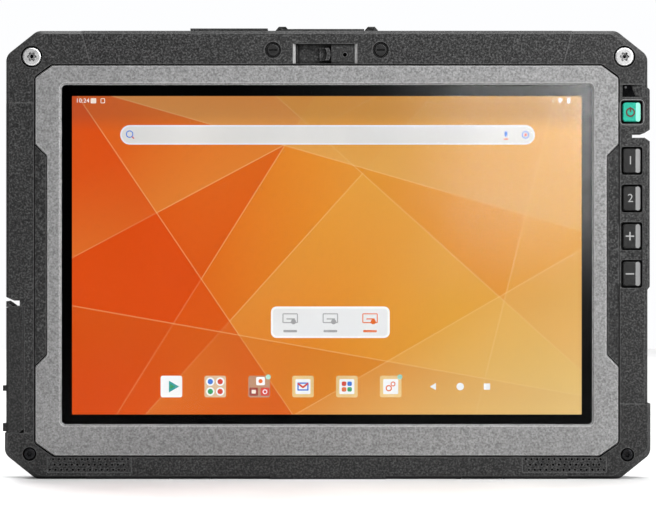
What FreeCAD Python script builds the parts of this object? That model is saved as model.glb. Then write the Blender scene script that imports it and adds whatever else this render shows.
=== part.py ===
"""Rugged tablet computer, used as a data collector in the field.

Frame: X to the right, Y from the screen to the back, Z up, in millimetres. The tablet stands on its lower
edge with its screen towards -Y, and the origin is in the middle of its footprint. Depths are counted from
the front face, which lies at half the thickness in front of the origin.
"""
import FreeCAD, Part
import math
import os

V = FreeCAD.Vector

# Screen, and the bands round it from the inside out
screen_width = 217.0
screen_height = 135.6
border_side = 4.3
border_top = 4.6
border_bottom = 4.0
bezel_side = 6.4
bezel_ear = 4.95
bezel_chin = 13.6
bezel_brow = 8.5
bezel_gap = 0.4
rail_width = 11.95
bottom_band = 9.4
top_band = 14.3

# Depths from the front face
thickness = 17.9
front_depth = 8.5
rear_recess = 0.5
rear_wall = 2.0
bezel_recess = 0.3
bezel_thickness = 1.2
glass_recess = 0.6
glass_thickness = 1.2
ink_thickness = 0.2
lcd_thickness = 2.6
frame_floor = 1.4
ledge_width = 6.0

# Corners and edges
corner_cut_x = 13.2
corner_cut_z = 10.5
corner_round = 5.0
edge_bevel = 1.4
corner_bevel = 2.7
bevel_depth = 2.4
bumper_wall = 5.0
bumper_skin = 3.2

# Clearances
slide_gap = 0.15
pin_gap = 0.05
thread_gap = 0.03

# Keys on the right rail
key_inner_land = 1.45
key_outer_land = 3.1
key_height = 10.3
key_pitch = 16.03
first_key_drop = 55.4
power_key_drop = 34.7
power_key_extra_width = 0.2
power_key_height = 8.1
key_margin = 0.85
key_recess = 0.2
key_cap_depth = 2.0
key_travel = 0.6
key_floor = 1.0
key_guide_gap = 0.3

# Doors
door_thickness = 2.5
door_hinge_inset = 1.3
door_hinge_depth = 16.0
door_pin_radius = 0.6
door_barrel_radius = 1.3
door_knuckle = 4.0
door_plate_end = 2.6
door_knuckle_front = 2.1
door_gap = 0.2
bay_front = 8.7
bay_rear = 14.2
port_door_low = 19.8
port_door_length = 53.2
port_door_lip = 7.0
port_bay_reach = 9.5
card_door_left = -58.1
card_door_length = 32.9
card_door_rise = 1.0
card_door_front = 1.5

# Battery
battery_width = 150.0
battery_height = 92.0
battery_drop = 4.5
battery_depth = 7.8
battery_gap = 0.4
battery_wall = 2.0
latch_width = 16.0
latch_catch = 0.5
latch_travel = 4.0
battery_lift = 16.0

# Rear mounting inserts
insert_spacing_x = 200.0
insert_spacing_z = 110.0
insert_radius = 2.4
insert_bore = 1.25
insert_depth = 3.0

# Places that follow from the sizes above
glass_width = screen_width + 2 * border_side
glass_height = screen_height + border_top + border_bottom
waist_x = glass_width / 2 + bezel_side
ear_x = waist_x + bezel_ear
opening_x = ear_x + bezel_gap
side_x = opening_x + rail_width
opening_low = bottom_band
bezel_low = opening_low + bezel_gap
glass_low = bezel_low + bezel_chin
screen_low = glass_low + border_bottom
glass_high = glass_low + glass_height
bezel_high = glass_high + bezel_brow
opening_high = bezel_high + bezel_gap
height = opening_high + top_band
middle_z = (glass_low + glass_high) / 2
battery_low = middle_z - battery_drop - battery_height / 2

bezel_back = bezel_recess + bezel_thickness
glass_back = glass_recess + glass_thickness
ink_back = glass_back + ink_thickness
lcd_back = ink_back + lcd_thickness
frame_back = lcd_back + frame_floor
rear_face = thickness - rear_recess
cavity_back = rear_face - rear_wall
cavity_x = opening_x - ledge_width
cavity_low = opening_low + ledge_width
cavity_high = opening_high - ledge_width
far = 400.0


# Basic solids

def y_at(depth):
    return depth - thickness / 2


def slab(outline, start, end):
    """A flat outline of (x, z) points, thickened from one depth to another."""
    points = [V(x, y_at(start), z) for x, z in outline]
    face = Part.Face(Part.makePolygon(points + points[:1]))
    return face.extrude(V(0, end - start, 0))


def block(left, right, low, high, start, end):
    return Part.makeBox(right - left, end - start, high - low, V(left, y_at(start), low))


def peg(x, z, radius, start, end):
    return Part.makeCylinder(radius, end - start, V(x, y_at(start), z), V(0, 1, 0))


def upright_rod(x, depth, radius, low, high):
    return Part.makeCylinder(radius, high - low, V(x, y_at(depth), low), V(0, 0, 1))


def level_rod(z, depth, radius, left, right):
    return Part.makeCylinder(radius, right - left, V(left, y_at(depth), z), V(1, 0, 0))


def mirrored(shape):
    return shape.mirror(V(0, 0, 0), V(1, 0, 0))


def depth_edges(shape):
    """Edges that run straight from front to back."""
    return [e for e in shape.Edges if e.BoundBox.YLength > 0.01
            and e.BoundBox.XLength < 0.001 and e.BoundBox.ZLength < 0.001]


def rim_edges(shape, depth):
    """Edges that lie in the plane at one depth."""
    y = y_at(depth)
    return [e for e in shape.Edges if abs(e.BoundBox.YMin - y) < 0.001 and abs(e.BoundBox.YMax - y) < 0.001]


def rounded(shape, radius):
    return shape.makeFillet(radius, depth_edges(shape))


def bevelled(shape, depth, size):
    return shape.makeChamfer(size, rim_edges(shape, depth))


def soft_block(left, right, low, high, start, end, radius):
    return rounded(block(left, right, low, high, start, end), radius)


def joined(shapes):
    return shapes[0].fuse(shapes[1:]).removeSplitter() if len(shapes) > 1 else shapes[0]


def cut_corners(left, right, low, high, low_cut, high_cut):
    """Rectangle with its four corners cut off; each cut is (along X, along Z)."""
    lx, lz = low_cut
    hx, hz = high_cut
    return [(left + lx, low), (right - lx, low), (right, low + lz), (right, high - hz),
            (right - hx, high), (left + hx, high), (left, high - hz), (left, low + lz)]


# Shared shapes

bezel_low_cut = (8.3, 5.8)
bezel_high_cut = (7.4, 5.4)
outline_cut = (corner_cut_x, corner_cut_z)


def body_blank(half_width, depth, bevel):
    """Whole outline of the tablet as one bevelled block."""
    outline = cut_corners(-half_width, half_width, 0, height, outline_cut, outline_cut)
    blank = rounded(slab(outline, 0, depth), corner_round)
    return bevelled(bevelled(blank, 0, bevel), depth, bevel)


def inset(outline, distances):
    """Moves each side of an outline inwards by its own distance."""
    lines = []
    for n, (x, z) in enumerate(outline):
        next_x, next_z = outline[(n + 1) % len(outline)]
        length = math.hypot(next_x - x, next_z - z)
        nx, nz = -(next_z - z) / length, (next_x - x) / length
        lines.append((nx, nz, nx * x + nz * z + distances[n]))
    corners = []
    for n, (a, b, c) in enumerate(lines):
        d, e, f = lines[n - 1]
        det = d * b - a * e
        corners.append(((f * b - c * e) / det, (d * c - a * f) / det))
    return corners


def rounded_wire(outline, radius, depth):
    """Closed wire round an outline, with an arc at each corner."""
    points = [V(x, y_at(depth), z) for x, z in outline]
    edges = []
    starts = []
    ends = []
    arcs = []
    for n, point in enumerate(points):
        before = (points[n - 1] - point).normalize()
        after = (points[(n + 1) % len(points)] - point).normalize()
        half_angle = before.getAngle(after) / 2
        reach = radius / math.tan(half_angle)
        centre = point + (before + after).normalize() * (radius / math.sin(half_angle))
        middle = centre + (point - centre).normalize() * radius
        starts.append(point + before * reach)
        ends.append(point + after * reach)
        arcs.append(Part.Arc(starts[-1], middle, ends[-1]).toShape())
    for n, arc in enumerate(arcs):
        edges += [arc, Part.makeLine(ends[n], starts[(n + 1) % len(points)])]
    return Part.Wire(edges)


def bumper_blank(half_width):
    """Outline of the bumpers, whose bevel is wider across the corners than along the sides."""
    outline = cut_corners(-half_width, half_width, 0, height, outline_cut, outline_cut)
    face = inset(outline, [edge_bevel, corner_bevel] * 4)
    wires = [rounded_wire(face, corner_round - 1, 0), rounded_wire(outline, corner_round, bevel_depth),
             rounded_wire(outline, corner_round, thickness - bevel_depth),
             rounded_wire(face, corner_round - 1, thickness)]
    return Part.makeLoft(wires, True, True)


def opening_blank(start, end):
    """The window in the housing that the display sits in."""
    outline = cut_corners(-opening_x, opening_x, opening_low, opening_high, bezel_low_cut, bezel_high_cut)
    return rounded(slab(outline, start, end), 3.2)


def cavity_blank(start, end):
    return soft_block(-cavity_x, cavity_x, cavity_low, cavity_high, start, end, 4.0)


# Corner bumpers: (side, end, seam on the edge, seam at the bezel, reach along the side, how far it stands out)
bumpers = {
    "bumper_top_left": (-1, 1, 105.8, 100.7, 30.8, 0.1),
    "bumper_top_right": (1, 1, 105.8, 100.7, 22.8, 0.1),
    "bumper_bottom_left": (-1, -1, 103.5, 100.5, 19.6, 0.7),
    "bumper_bottom_right": (1, -1, 103.5, 100.5, 32.0, 1.4),
}
seam_notch = 1.1
seam_from_corner = side_x - 136.5


def bumper_region(name):
    """The corner that one bumper covers, less the core of the housing inside it."""
    side, end, seam_edge, seam_bezel, reach, _ = bumpers[name]
    edge_x = seam_edge + seam_from_corner
    inner_x = seam_bezel + seam_from_corner
    edge_z = height + 5 if end > 0 else -5
    bezel_z = opening_high if end > 0 else opening_low
    side_z = height - reach if end > 0 else reach
    outline = [(side * edge_x, edge_z), (side * inner_x, bezel_z), (side * inner_x, side_z),
               (side * (side_x + 5), side_z), (side * (side_x + 5), edge_z)]
    core_x = side_x - bumper_wall
    core_outline = cut_corners(-core_x, core_x, bumper_wall, height - bumper_wall, outline_cut, outline_cut)
    core = slab(core_outline, bumper_skin, thickness - bumper_skin)
    region = slab(outline, -1, thickness + 1)
    return region.cut(core).cut(opening_blank(-1, thickness + 1))


regions = {name: bumper_region(name) for name in bumpers}

# Screws through the bumpers: x, z
top_screws = [(-side_x + 11.0, height - 11.1), (side_x - 9.9, height - 11.1)]
bottom_screws = [(-side_x + 10.1, 10.7), (side_x - 8.7, 10.4)]
pan_radius = 4.05
small_radius = 2.45
head_recess = 2.2
shank_radius = 1.7
shank_end = 12.5
pocket_gap = 0.6


def screw_pockets():
    cuts = [peg(x, z, pan_radius + pocket_gap, -1, head_recess) for x, z in top_screws]
    cuts += [peg(x, z, small_radius + 0.5, -1, head_recess) for x, z in bottom_screws]
    cuts += [peg(x, z, shank_radius + thread_gap, 0, shank_end + 0.5) for x, z in top_screws + bottom_screws]
    return cuts


def lobed_recess(x, z, radius, start, end):
    """Six-lobe driver recess."""
    star = [peg(x, z, radius * 0.74, start, end)]
    for turn in range(6):
        angle = math.radians(60 * turn)
        spot = (x + radius * 0.72 * math.cos(angle), z + radius * 0.72 * math.sin(angle))
        star.append(peg(spot[0], spot[1], radius * 0.28, start, end))
    return joined(star)


def front_screw(x, z, head_radius):
    """Pan head screw, put in from the front."""
    head = peg(x, z, head_radius, 0.2, head_recess)
    head = head.makeFillet(head_radius * 0.22, rim_edges(head, 0.2))
    shank = peg(x, z, shank_radius, head_recess, shank_end)
    return head.fuse(shank).cut(lobed_recess(x, z, head_radius * 0.5, 0, 1.5))


def bumper_screws_top():
    return [front_screw(x, z, pan_radius) for x, z in top_screws]


def bumper_screws_bottom():
    return [front_screw(x, z, small_radius) for x, z in bottom_screws]


# Speaker grilles
grille_left = -118.9 - seam_from_corner
grille_width = 35.8
grille_low = 2.9
grille_depth = 1.2
hole_radius = 0.52
hole_pitch = 2.45
grille_rows = [(8.5, 14, 2.5), (6.2, 13, 3.1), (4.0, 14, 1.1)]
speaker_depth = 6.2


def grille_pocket(margin):
    right = grille_left + grille_width
    plate = block(grille_left - margin, right + margin, grille_low - margin, opening_low + 0.2, -1, grille_depth)
    duct = block(grille_left + 1.2 - margin, right - 1.2 + margin, grille_low + 0.6 - margin, opening_low - 0.6,
                 0, front_depth)
    return plate.fuse(duct)


def grille_plate():
    plate = block(grille_left, grille_left + grille_width, grille_low, opening_low, 0, grille_depth)
    holes = []
    for row_z, count, inset in grille_rows:
        for n in range(count):
            holes.append(peg(grille_left + inset + n * hole_pitch, row_z, hole_radius, -1, grille_depth + 1))
    return plate.cut(Part.makeCompound(holes))


def speaker_mesh():
    left = grille_left + 1.2
    return block(left, left + grille_width - 2.4, grille_low + 0.6, opening_low - 0.6,
                 grille_depth, grille_depth + 0.2)


def speaker():
    left = grille_left + 1.4
    right = grille_left + grille_width - 1.4
    start = grille_depth + 0.2
    body = block(left, right, grille_low + 0.8, opening_low - 0.8, start, start + speaker_depth)
    dish = block(left + 1, right - 1, grille_low + 1.6, opening_low - 1.6, start - 1, start + 0.8)
    return body.cut(dish)


# Keys
key_width = rail_width - key_inner_land - key_outer_land
power_key_width = key_width + power_key_extra_width
key_x = opening_x + key_inner_land + key_width / 2
power_z = height - power_key_drop
key_centres = {name: height - first_key_drop - n * key_pitch
               for n, name in enumerate(["key_one", "key_two", "key_plus", "key_minus"])}
cap_back = key_recess + key_cap_depth
well_floor = cap_back + key_travel + 0.3
key_flange = well_floor + key_floor + 0.2
key_back = key_flange + 0.6
seal_front = key_back + key_travel + 0.2
seal_sheet = 0.4
board_front = seal_front + 0.3 + seal_sheet
button_board_depth = 1.0
stem_width = key_width - 3.4
flange_width = key_width - 1.4
key_bay_left = key_x - key_width / 2 - 0.3
key_bay_right = key_x + key_width / 2 + 0.3
key_bay_neck = key_x - 1.2


def key(centre_z, wide, tall):
    """Cap with a sloping right flank, a stem through the well floor, and a flange that holds it in."""
    left = key_x - wide / 2
    right = key_x + wide / 2
    low = centre_z - tall / 2
    cap = soft_block(left, right, low, low + tall, key_recess, cap_back, 1.2)
    cap = bevelled(cap, key_recess, 0.35)
    flank = slab([(right - 2.1, low - 1), (right + 1, low - 1), (right + 1, low + tall + 1),
                  (right - 2.1, low + tall + 1)], -3, key_recess)
    flank.rotate(V(right - 2.1, y_at(key_recess), low), V(0, 0, 1), 18)
    cap = cap.cut(flank)
    stem = block(key_x - stem_width / 2, key_x + stem_width / 2, centre_z - 3, centre_z + 3, cap_back, key_flange)
    flange = block(key_x - flange_width / 2, key_x + flange_width / 2, centre_z - 3.6, centre_z + 3.6,
                   key_flange, key_back)
    return cap.fuse(stem).fuse(flange)


def power_key():
    return key(power_z, power_key_width, power_key_height)


def key_well(centre_z, wide, tall):
    """Well round one cap, with the guide hole for its stem."""
    half_x = wide / 2 + key_margin
    half_z = tall / 2 + key_margin
    well = soft_block(key_x - half_x, key_x + half_x, centre_z - half_z, centre_z + half_z, -1, well_floor, 1.2)
    return well.fuse(stem_hole(centre_z))


def stem_hole(centre_z):
    half = stem_width / 2 + key_guide_gap
    return block(key_x - half, key_x + half, centre_z - 3 - key_guide_gap, centre_z + 3 + key_guide_gap,
                 well_floor - 0.1, well_floor + key_floor + 0.1)


def rocker_well():
    """One smooth recess that the plus and minus keys share."""
    top = key_centres["key_plus"] + key_height / 2 + key_margin
    bottom = key_centres["key_minus"] - key_height / 2 - key_margin
    half = key_width / 2 + key_margin
    dish = soft_block(key_x - half - 0.7, key_x + half, bottom, top, -1, 0.6, 1.8)
    return [dish] + [key_well(key_centres[name], key_width, key_height) for name in ("key_plus", "key_minus")]


def power_collar():
    """Groove round the raised collar of the power key."""
    outer = soft_block(key_x - 5.5, key_x + 5.6, power_z - 5.9, power_z + 5.8, -1, 0.4, 2.4)
    inner = soft_block(key_x - 4.9, key_x + 5.0, power_z - 5.3, power_z + 5.2, -2, 1, 2.0)
    return outer.cut(inner)


tether_z = height - 44.6
tether_tall = 2.0
tether_left = side_x - 6.7


def tether_slot():
    """Slot through the right rail, open at its edge, with a flared mouth."""
    slot = block(tether_left, side_x + 2, tether_z - tether_tall / 2, tether_z + tether_tall / 2, -1, thickness)
    mouth = slab([(side_x - 1.4, tether_z - 1), (side_x + 1.2, tether_z - 2.6),
                  (side_x + 1.2, tether_z + 2.6), (side_x - 1.4, tether_z + 1)], -1, thickness)
    return slot.fuse(mouth)


def tether_eye():
    """Eye through the left rail, with a slanted way in from the edge."""
    low = port_door_low + port_door_length + 0.5
    return slab([(-side_x - 1, low + 4.4), (-side_x - 1, low + 2.9), (-side_x + 2.9, low),
                 (-side_x + 5.9, low), (-side_x + 5.9, low + 2.4), (-side_x + 3.6, low + 2.4)], -1, thickness)


def key_bay():
    """Room behind the keys for their board, narrowed beside the tether slot."""
    top = power_z + power_key_height / 2 + 0.6
    bottom = key_centres["key_minus"] - key_height / 2 - 0.6
    start = well_floor + key_floor
    upper = block(key_bay_left, key_bay_right, tether_z + 2.2, top, start, front_depth)
    neck = block(key_bay_left, key_bay_neck, bottom, top, start, front_depth)
    lower = block(key_bay_left, key_bay_right, bottom, tether_z - 2.2, start, front_depth)
    return joined([upper, neck, lower])


def key_sheet(gap, start, end):
    """A sheet that fills the key bay, less a gap all round."""
    top = power_z + power_key_height / 2 + 0.6 - gap
    bottom = key_centres["key_minus"] - key_height / 2 - 0.6 + gap
    upper = block(key_bay_left + gap, key_bay_right - gap, tether_z + 2.2 + gap, top, start, end)
    neck = block(key_bay_left + gap, key_bay_neck - gap, bottom, top, start, end)
    lower = block(key_bay_left + gap, key_bay_right - gap, bottom, tether_z - 2.2 - gap, start, end)
    return joined([upper, neck, lower])


def keypad_seal():
    sheet = key_sheet(0.2, seal_front + 0.3, board_front)
    domes = [peg(key_x, z, 1.9, seal_front, seal_front + 0.35) for z in [power_z, *key_centres.values()]]
    return joined([sheet] + domes)


def button_board():
    return key_sheet(0.2, board_front, board_front + button_board_depth)


# Front camera with its sliding shutter
camera_x = 7.7
camera_z = opening_high + 4.1
slot_left = -14.5
slot_right = 13.0
slot_low = opening_high + 0.2
slot_high = opening_high + 8.7
cover_left = 2.0
cover_front = 0.9
cover_back = 1.9
shutter_front = cover_back + slide_gap
shutter_back = shutter_front + 0.8
slot_floor = shutter_back + slide_gap
shutter_low = slot_low + 1.3
shutter_high = slot_high - 1.6
shutter_right = 18.6
shutter_travel = 8.0
camera_radius = 2.4
camera_barrel_end = 7.6


def camera_slot():
    """Pocket for the shutter, with ramps at its ends, and its channel under the cover."""
    pocket = block(slot_left + 2.1, cover_left, slot_low, slot_high, -1, slot_floor)
    seat = block(cover_left - 0.1, slot_right, slot_low, slot_high, -1, cover_back)
    channel = block(cover_left - 0.1, shutter_right + 0.3, shutter_low - slide_gap, shutter_high + slide_gap,
                    cover_back - 0.1, slot_floor)
    ramp = block(slot_left, slot_left + 2.1, slot_low, slot_high, -4, 0.0)
    ramp.rotate(V(slot_left, y_at(0), slot_low), V(0, 0, 1), math.degrees(math.atan2(slot_floor, 2.1)))
    bore = peg(camera_x, camera_z, camera_radius + pin_gap, slot_floor - 0.1, camera_barrel_end + 0.1)
    return joined([pocket, seat, channel, bore]), ramp


def camera_cover():
    """Plate over the camera, with a sloping right end and a small lens hole."""
    plate = block(cover_left, slot_right, slot_low, slot_high, cover_front, cover_back)
    plate = plate.cut(peg(camera_x, camera_z, 0.85, 0, cover_back + 1))
    ring = peg(camera_x, camera_z, 1.7, 0, cover_front + 0.15).cut(peg(camera_x, camera_z, 1.35, -1, 2))
    rise = slab([(slot_right - 1.1, slot_low), (slot_right, slot_low), (slot_right, slot_high),
                 (slot_right - 1.1, slot_high)], 0.1, cover_front)
    rise = rise.cut(wedge_cut(slot_right - 1.1, slot_right, slot_low, slot_high, 0.1, cover_front))
    return plate.cut(ring).fuse(rise).removeSplitter()


def wedge_cut(left, right, low, high, near, deep):
    """Cutter that leaves a slope from the deep depth at the left to the near depth at the right."""
    points = [V(left - 1, y_at(deep), low - 1), V(left, y_at(deep), low - 1), V(right, y_at(near), low - 1),
              V(right, y_at(near - 3), low - 1), V(left - 1, y_at(near - 3), low - 1)]
    return Part.Face(Part.makePolygon(points + points[:1])).extrude(V(0, 0, high - low + 2))


def camera_shutter():
    """Tongue with an aperture, and a crescent thumb ridge at its left end."""
    tongue = block(-3.0, shutter_right, shutter_low, shutter_high, shutter_front, shutter_back)
    tongue = tongue.cut(peg(camera_x, camera_z, 1.6, 0, slot_floor + 1))
    middle = (shutter_low + shutter_high) / 2
    crescent = peg(-3.9, middle, 5.4, 0.35, shutter_front + 0.1).cut(peg(-4.9, middle, 4.9, -1, 3))
    crescent = crescent.common(block(-1.4, 2, shutter_low + 0.2, shutter_high - 0.2, 0, 3))
    return tongue.fuse(crescent).removeSplitter()


def front_camera():
    module = block(camera_x - 4, camera_x + 4, camera_z - 4, camera_z + 4, front_depth - 2.6, front_depth - 0.1)
    barrel = peg(camera_x, camera_z, camera_radius, slot_floor + 0.1, front_depth - 2.5)
    pupil = peg(camera_x, camera_z, 1.0, 0, slot_floor + 0.6)
    return barrel.fuse(module).cut(pupil).removeSplitter()


def front_camera_bay():
    return block(camera_x - 4.2, camera_x + 4.2, camera_z - 4.2, camera_z + 4.2, front_depth - 2.7, front_depth)


# Rubber plugs over two housing screws
plug_spots = [(-22.9, opening_high + 6.0), (22.9, opening_high + 6.0)]
plug_radius = 2.6
plug_recess_radius = 3.5


def plug_pockets():
    cuts = [peg(x, z, plug_recess_radius, -1, 0.9) for x, z in plug_spots]
    return cuts + [peg(x, z, plug_radius + thread_gap, 0, 3.0) for x, z in plug_spots]


def screw_plugs():
    plugs = []
    for x, z in plug_spots:
        plug = peg(x, z, plug_radius, 0.3, 3.0)
        plug = plug.makeFillet(0.5, rim_edges(plug, 0.3))
        slot = block(x - 1.7, x + 1.7, z - 0.35, z + 0.35, 0, 0.9)
        plugs.append(plug.cut(slot))
    return plugs


# Light sensor window and charge lamp above the power key
window_left = opening_x + 1.05
window_right = side_x - 2.4
window_low = height - 28.3
window_high = height - 23.1
pane_foot_width = 5.7
pane_head_width = 3.5
pane_back = 1.3
lamp_spot = (window_left + 1.5, window_low + 4.1)
lamp_radius = 0.5


def pane_outline():
    return [(window_left, window_low), (window_left + pane_foot_width, window_low),
            (window_left + pane_head_width, window_high), (window_left, window_high)]


def sensor_window():
    pane = slab(pane_outline(), 0.3, pane_back)
    return pane.cut(peg(lamp_spot[0], lamp_spot[1], lamp_radius + thread_gap, 0, 2))


def light_pipe():
    return peg(lamp_spot[0], lamp_spot[1], lamp_radius, 0.25, 3.0)


def sensor_recess():
    """Seat of the pane, and a ramp that rises from it to the right."""
    inner = window_left + pane_head_width
    profile = [V(x, y_at(depth), window_low)
               for x, depth in ((inner, -1), (inner, 1.0), (window_right, 0.15), (window_right, -1))]
    ramp = Part.Face(Part.makePolygon(profile + profile[:1])).extrude(V(0, 0, window_high - window_low))
    seat = slab(pane_outline(), -1, pane_back)
    return ramp.fuse(seat).fuse(peg(lamp_spot[0], lamp_spot[1], lamp_radius + thread_gap, 0, 3.0))


# Swinging doors. Each is drawn about its hinge line along +Z, outwards to -X and with the screen to -Y.
hinge_y = y_at(door_hinge_depth)
port_hinge_x = -side_x + door_hinge_inset
card_hinge_z = height + card_door_rise - door_hinge_inset


def door_blank(length, front):
    """Plate, arm and barrel of a door whose front edge is at the given depth."""
    inner = door_thickness - door_hinge_inset
    front_y = y_at(front) - hinge_y
    plate = Part.makeBox(door_thickness, -door_plate_end - front_y, length, V(-door_hinge_inset, front_y, 0))
    arm_length = length - 2 * door_knuckle
    arm = Part.makeBox(inner * 0.5 + door_hinge_inset, door_plate_end + 0.1, arm_length,
                       V(-door_hinge_inset, -door_plate_end - 0.1, door_knuckle))
    barrel = Part.makeCylinder(door_barrel_radius, arm_length, V(0, 0, door_knuckle))
    bore = Part.makeCylinder(door_pin_radius + pin_gap, length, V(0, 0, 0))
    return plate.fuse(arm).fuse(barrel).removeSplitter().cut(bore)


def door_recess(length, front):
    """Room in the housing for a door, open outwards, with its hinge pocket and pin holes."""
    front_y = y_at(front) - hinge_y - door_gap
    inner = door_thickness - door_hinge_inset + 0.1
    plate = Part.makeBox(inner + 5, -door_knuckle_front - front_y, length + 2 * door_gap,
                         V(-5, front_y, -door_gap))
    arm_length = length - 2 * door_knuckle + 2 * door_gap
    pocket = Part.makeBox(inner + 5.2, 7.0, arm_length, V(-5, -door_knuckle_front - 0.1, door_knuckle - door_gap))
    pin = Part.makeCylinder(door_pin_radius + thread_gap, length - 2, V(0, 0, 1))
    return plate.fuse(pocket).fuse(pin)


def door_pin(length):
    return Part.makeCylinder(door_pin_radius, length - 2.4, V(0, 0, 1.2))


def door_seal(length):
    """Gasket on the inside of a door, round the mouth of its bay."""
    inner = door_thickness - door_hinge_inset
    front_y = y_at(bay_front + 0.6) - hinge_y
    rear_y = -door_plate_end
    ring = Part.makeBox(1.4, rear_y - front_y, length - 10, V(inner, front_y, 5))
    return ring.cut(Part.makeBox(1.4, rear_y - front_y - 2, length - 12, V(inner + 0.6, front_y + 1, 6)))


def on_left(shape):
    return shape.translated(V(port_hinge_x, hinge_y, port_door_low))


def on_top(shape):
    turned = shape.rotated(V(0, 0, 0), V(0, 1, 0), 90)
    return turned.translated(V(card_door_left, hinge_y, card_hinge_z))


def port_door():
    """Door over the sockets: it wraps round onto the front, and has two pull tabs on its edge."""
    door = on_left(door_blank(port_door_length, 0))
    top = port_door_low + port_door_length
    lip = block(-side_x, -side_x + port_door_lip + 0.5, port_door_low, top, 0, 2.2)
    foot = slab([(-side_x + port_door_lip - 2.5, port_door_low - 1), (-side_x + 9, port_door_low - 1),
                 (-side_x + 9, port_door_low + 3)], -1, 3)
    tabs = [block(-side_x - 1.4, -side_x + 0.5, port_door_low + 17.7, port_door_low + 20.0, 1.2, 4.8),
            block(-side_x - 1.4, -side_x + 0.5, port_door_low + 0.5, port_door_low + 3.9, 1.2, 4.8)]
    whole = joined([door, lip] + tabs).cut(foot)
    corner = Part.Face(Part.makePolygon([V(-side_x - 1, y_at(-1), 0), V(-side_x + edge_bevel, y_at(-1), 0),
                                         V(-side_x + edge_bevel, y_at(0), 0), V(-side_x, y_at(edge_bevel), 0),
                                         V(-side_x - 1, y_at(edge_bevel), 0), V(-side_x - 1, y_at(-1), 0)]))
    bevel = corner.extrude(V(0, 0, height)).cut(block(-side_x - 3, -side_x, 0, height, 1.0, 6))
    return whole.cut(bevel)


def card_door():
    """Door over the card slots, with two small lift dots near its ends."""
    door = on_top(door_blank(card_door_length, card_door_front))
    dots = [(card_door_left + 1.8), (card_door_left + card_door_length - 1.1)]
    for x in dots:
        door = door.cut(peg(x, height + card_door_rise - 1.4, 0.55, 0, card_door_front + 0.4))
    return door


def port_bay():
    """Bay behind the port door, and a tunnel inwards for each socket."""
    bay = block(-side_x + door_thickness - 0.1, -side_x + port_bay_reach, port_door_low + 4.2,
                port_door_low + port_door_length - 4.2, bay_front, bay_rear)
    tunnels = [block(-side_x + port_bay_reach - 0.1, -cavity_x + 0.1, z - wide / 2 - 0.1, z + wide / 2 + 0.1,
                     front_depth - 0.1, front_depth + tall + 0.1) for z, wide, tall in sockets.values()]
    return [bay] + tunnels


def card_bay():
    left = card_door_left + 4.2
    right = card_door_left + card_door_length - 4.2
    door_inside = height + card_door_rise - door_thickness
    bay = block(left, right, door_inside - 6.0, door_inside + 0.1, bay_front, bay_rear)
    well = block(left + 1, right - 1, cavity_high - 0.1, door_inside - 5.9, bay_front + 1.5, bay_rear - 0.4)
    return bay.fuse(well)


# Sockets in the port bay: height of the middle, width along Z, depth along Y
sockets = {
    "audio_jack": (port_door_low + 9.2, 6.4, 5.6),
    "dc_jack": (port_door_low + 18.6, 7.6, 5.8),
    "usb_a_port": (port_door_low + 31.0, 13.2, 5.8),
    "usb_c_port": (port_door_low + 44.0, 9.0, 3.3),
}
socket_length = 14.0
socket_left = -side_x + port_bay_reach


def socket_body(name):
    z, wide, tall = sockets[name]
    return block(socket_left, socket_left + socket_length, z - wide / 2, z + wide / 2,
                 front_depth, front_depth + tall)


def usb_port(name, wall, tongue_share):
    """Metal shell with an open mouth and a contact tongue inside."""
    z, wide, tall = sockets[name]
    hollow = block(socket_left - 1, socket_left + socket_length - 2, z - wide / 2 + wall, z + wide / 2 - wall,
                   front_depth + wall, front_depth + tall - wall)
    half = wide / 2 - 1.3
    tongue_front = front_depth + tall / 2 - tall * tongue_share / 2
    tongue = block(socket_left + 1.2, socket_left + socket_length - 1, z - half, z + half,
                   tongue_front, tongue_front + tall * tongue_share)
    return socket_body(name).cut(hollow).fuse(tongue).removeSplitter()


def round_jack(name, bore, core):
    """Block with a round socket, and a centre pin where it has one."""
    z, _, tall = sockets[name]
    depth = front_depth + tall / 2
    shape = socket_body(name).cut(level_rod(z, depth, bore, socket_left - 1, socket_left + socket_length - 2))
    if core:
        shape = shape.fuse(level_rod(z, depth, core, socket_left + 1, socket_left + socket_length - 1.5))
    return shape


def usb_a_port():
    return usb_port("usb_a_port", 0.4, 0.3)


def usb_c_port():
    return usb_port("usb_c_port", 0.3, 0.22)


def audio_jack():
    return round_jack("audio_jack", 1.8, 0)


def dc_jack():
    return round_jack("dc_jack", 2.5, 0.7)


io_board_back = front_depth
io_board_depth = 1.0
io_board_right = -battery_width / 2 - 6.0


def io_board():
    """Board that the sockets are soldered to."""
    low = port_door_low + 2
    high = port_door_low + port_door_length + 4
    return block(-cavity_x + 0.3, io_board_right, low, high, io_board_back - io_board_depth, io_board_back)


# Main board above the battery
board_low = battery_low + battery_height + 6.0
board_high = cavity_high - 2.0
board_left = -cavity_x + 14.0
board_right = cavity_x - 38.0
board_front_depth = front_depth + 0.8
board_depth = 1.2
board_back = board_front_depth + board_depth
can_height = 2.2
can_low = board_low + 3.0
can_high = board_high - 6.5
standoffs = [(board_left + 5, board_low + 4), (board_left + 5, board_high - 4),
             (board_right - 12, board_low + 4), (board_right - 12, board_high - 4)]


def mainboard():
    board = block(board_left, board_right, board_low, board_high, board_front_depth, board_back)
    return board.cut(Part.makeCompound([peg(x, z, 1.3, 0, far) for x, z in standoffs]))


def shield_cans():
    """Pressed metal cans over the processor, the radios and the power stage."""
    cans = []
    for left, wide in ((board_left + 12, 22.0), (-22.0, 38.0), (22.0, 30.0)):
        outer = soft_block(left, left + wide, can_low, can_high, board_back, board_back + can_height, 1.0)
        inner = block(left + 0.4, left + wide - 0.4, can_low + 0.4, can_high - 0.4,
                      board_back - 0.1, board_back + can_height - 0.4)
        cans.append(outer.cut(inner))
    return cans


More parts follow.
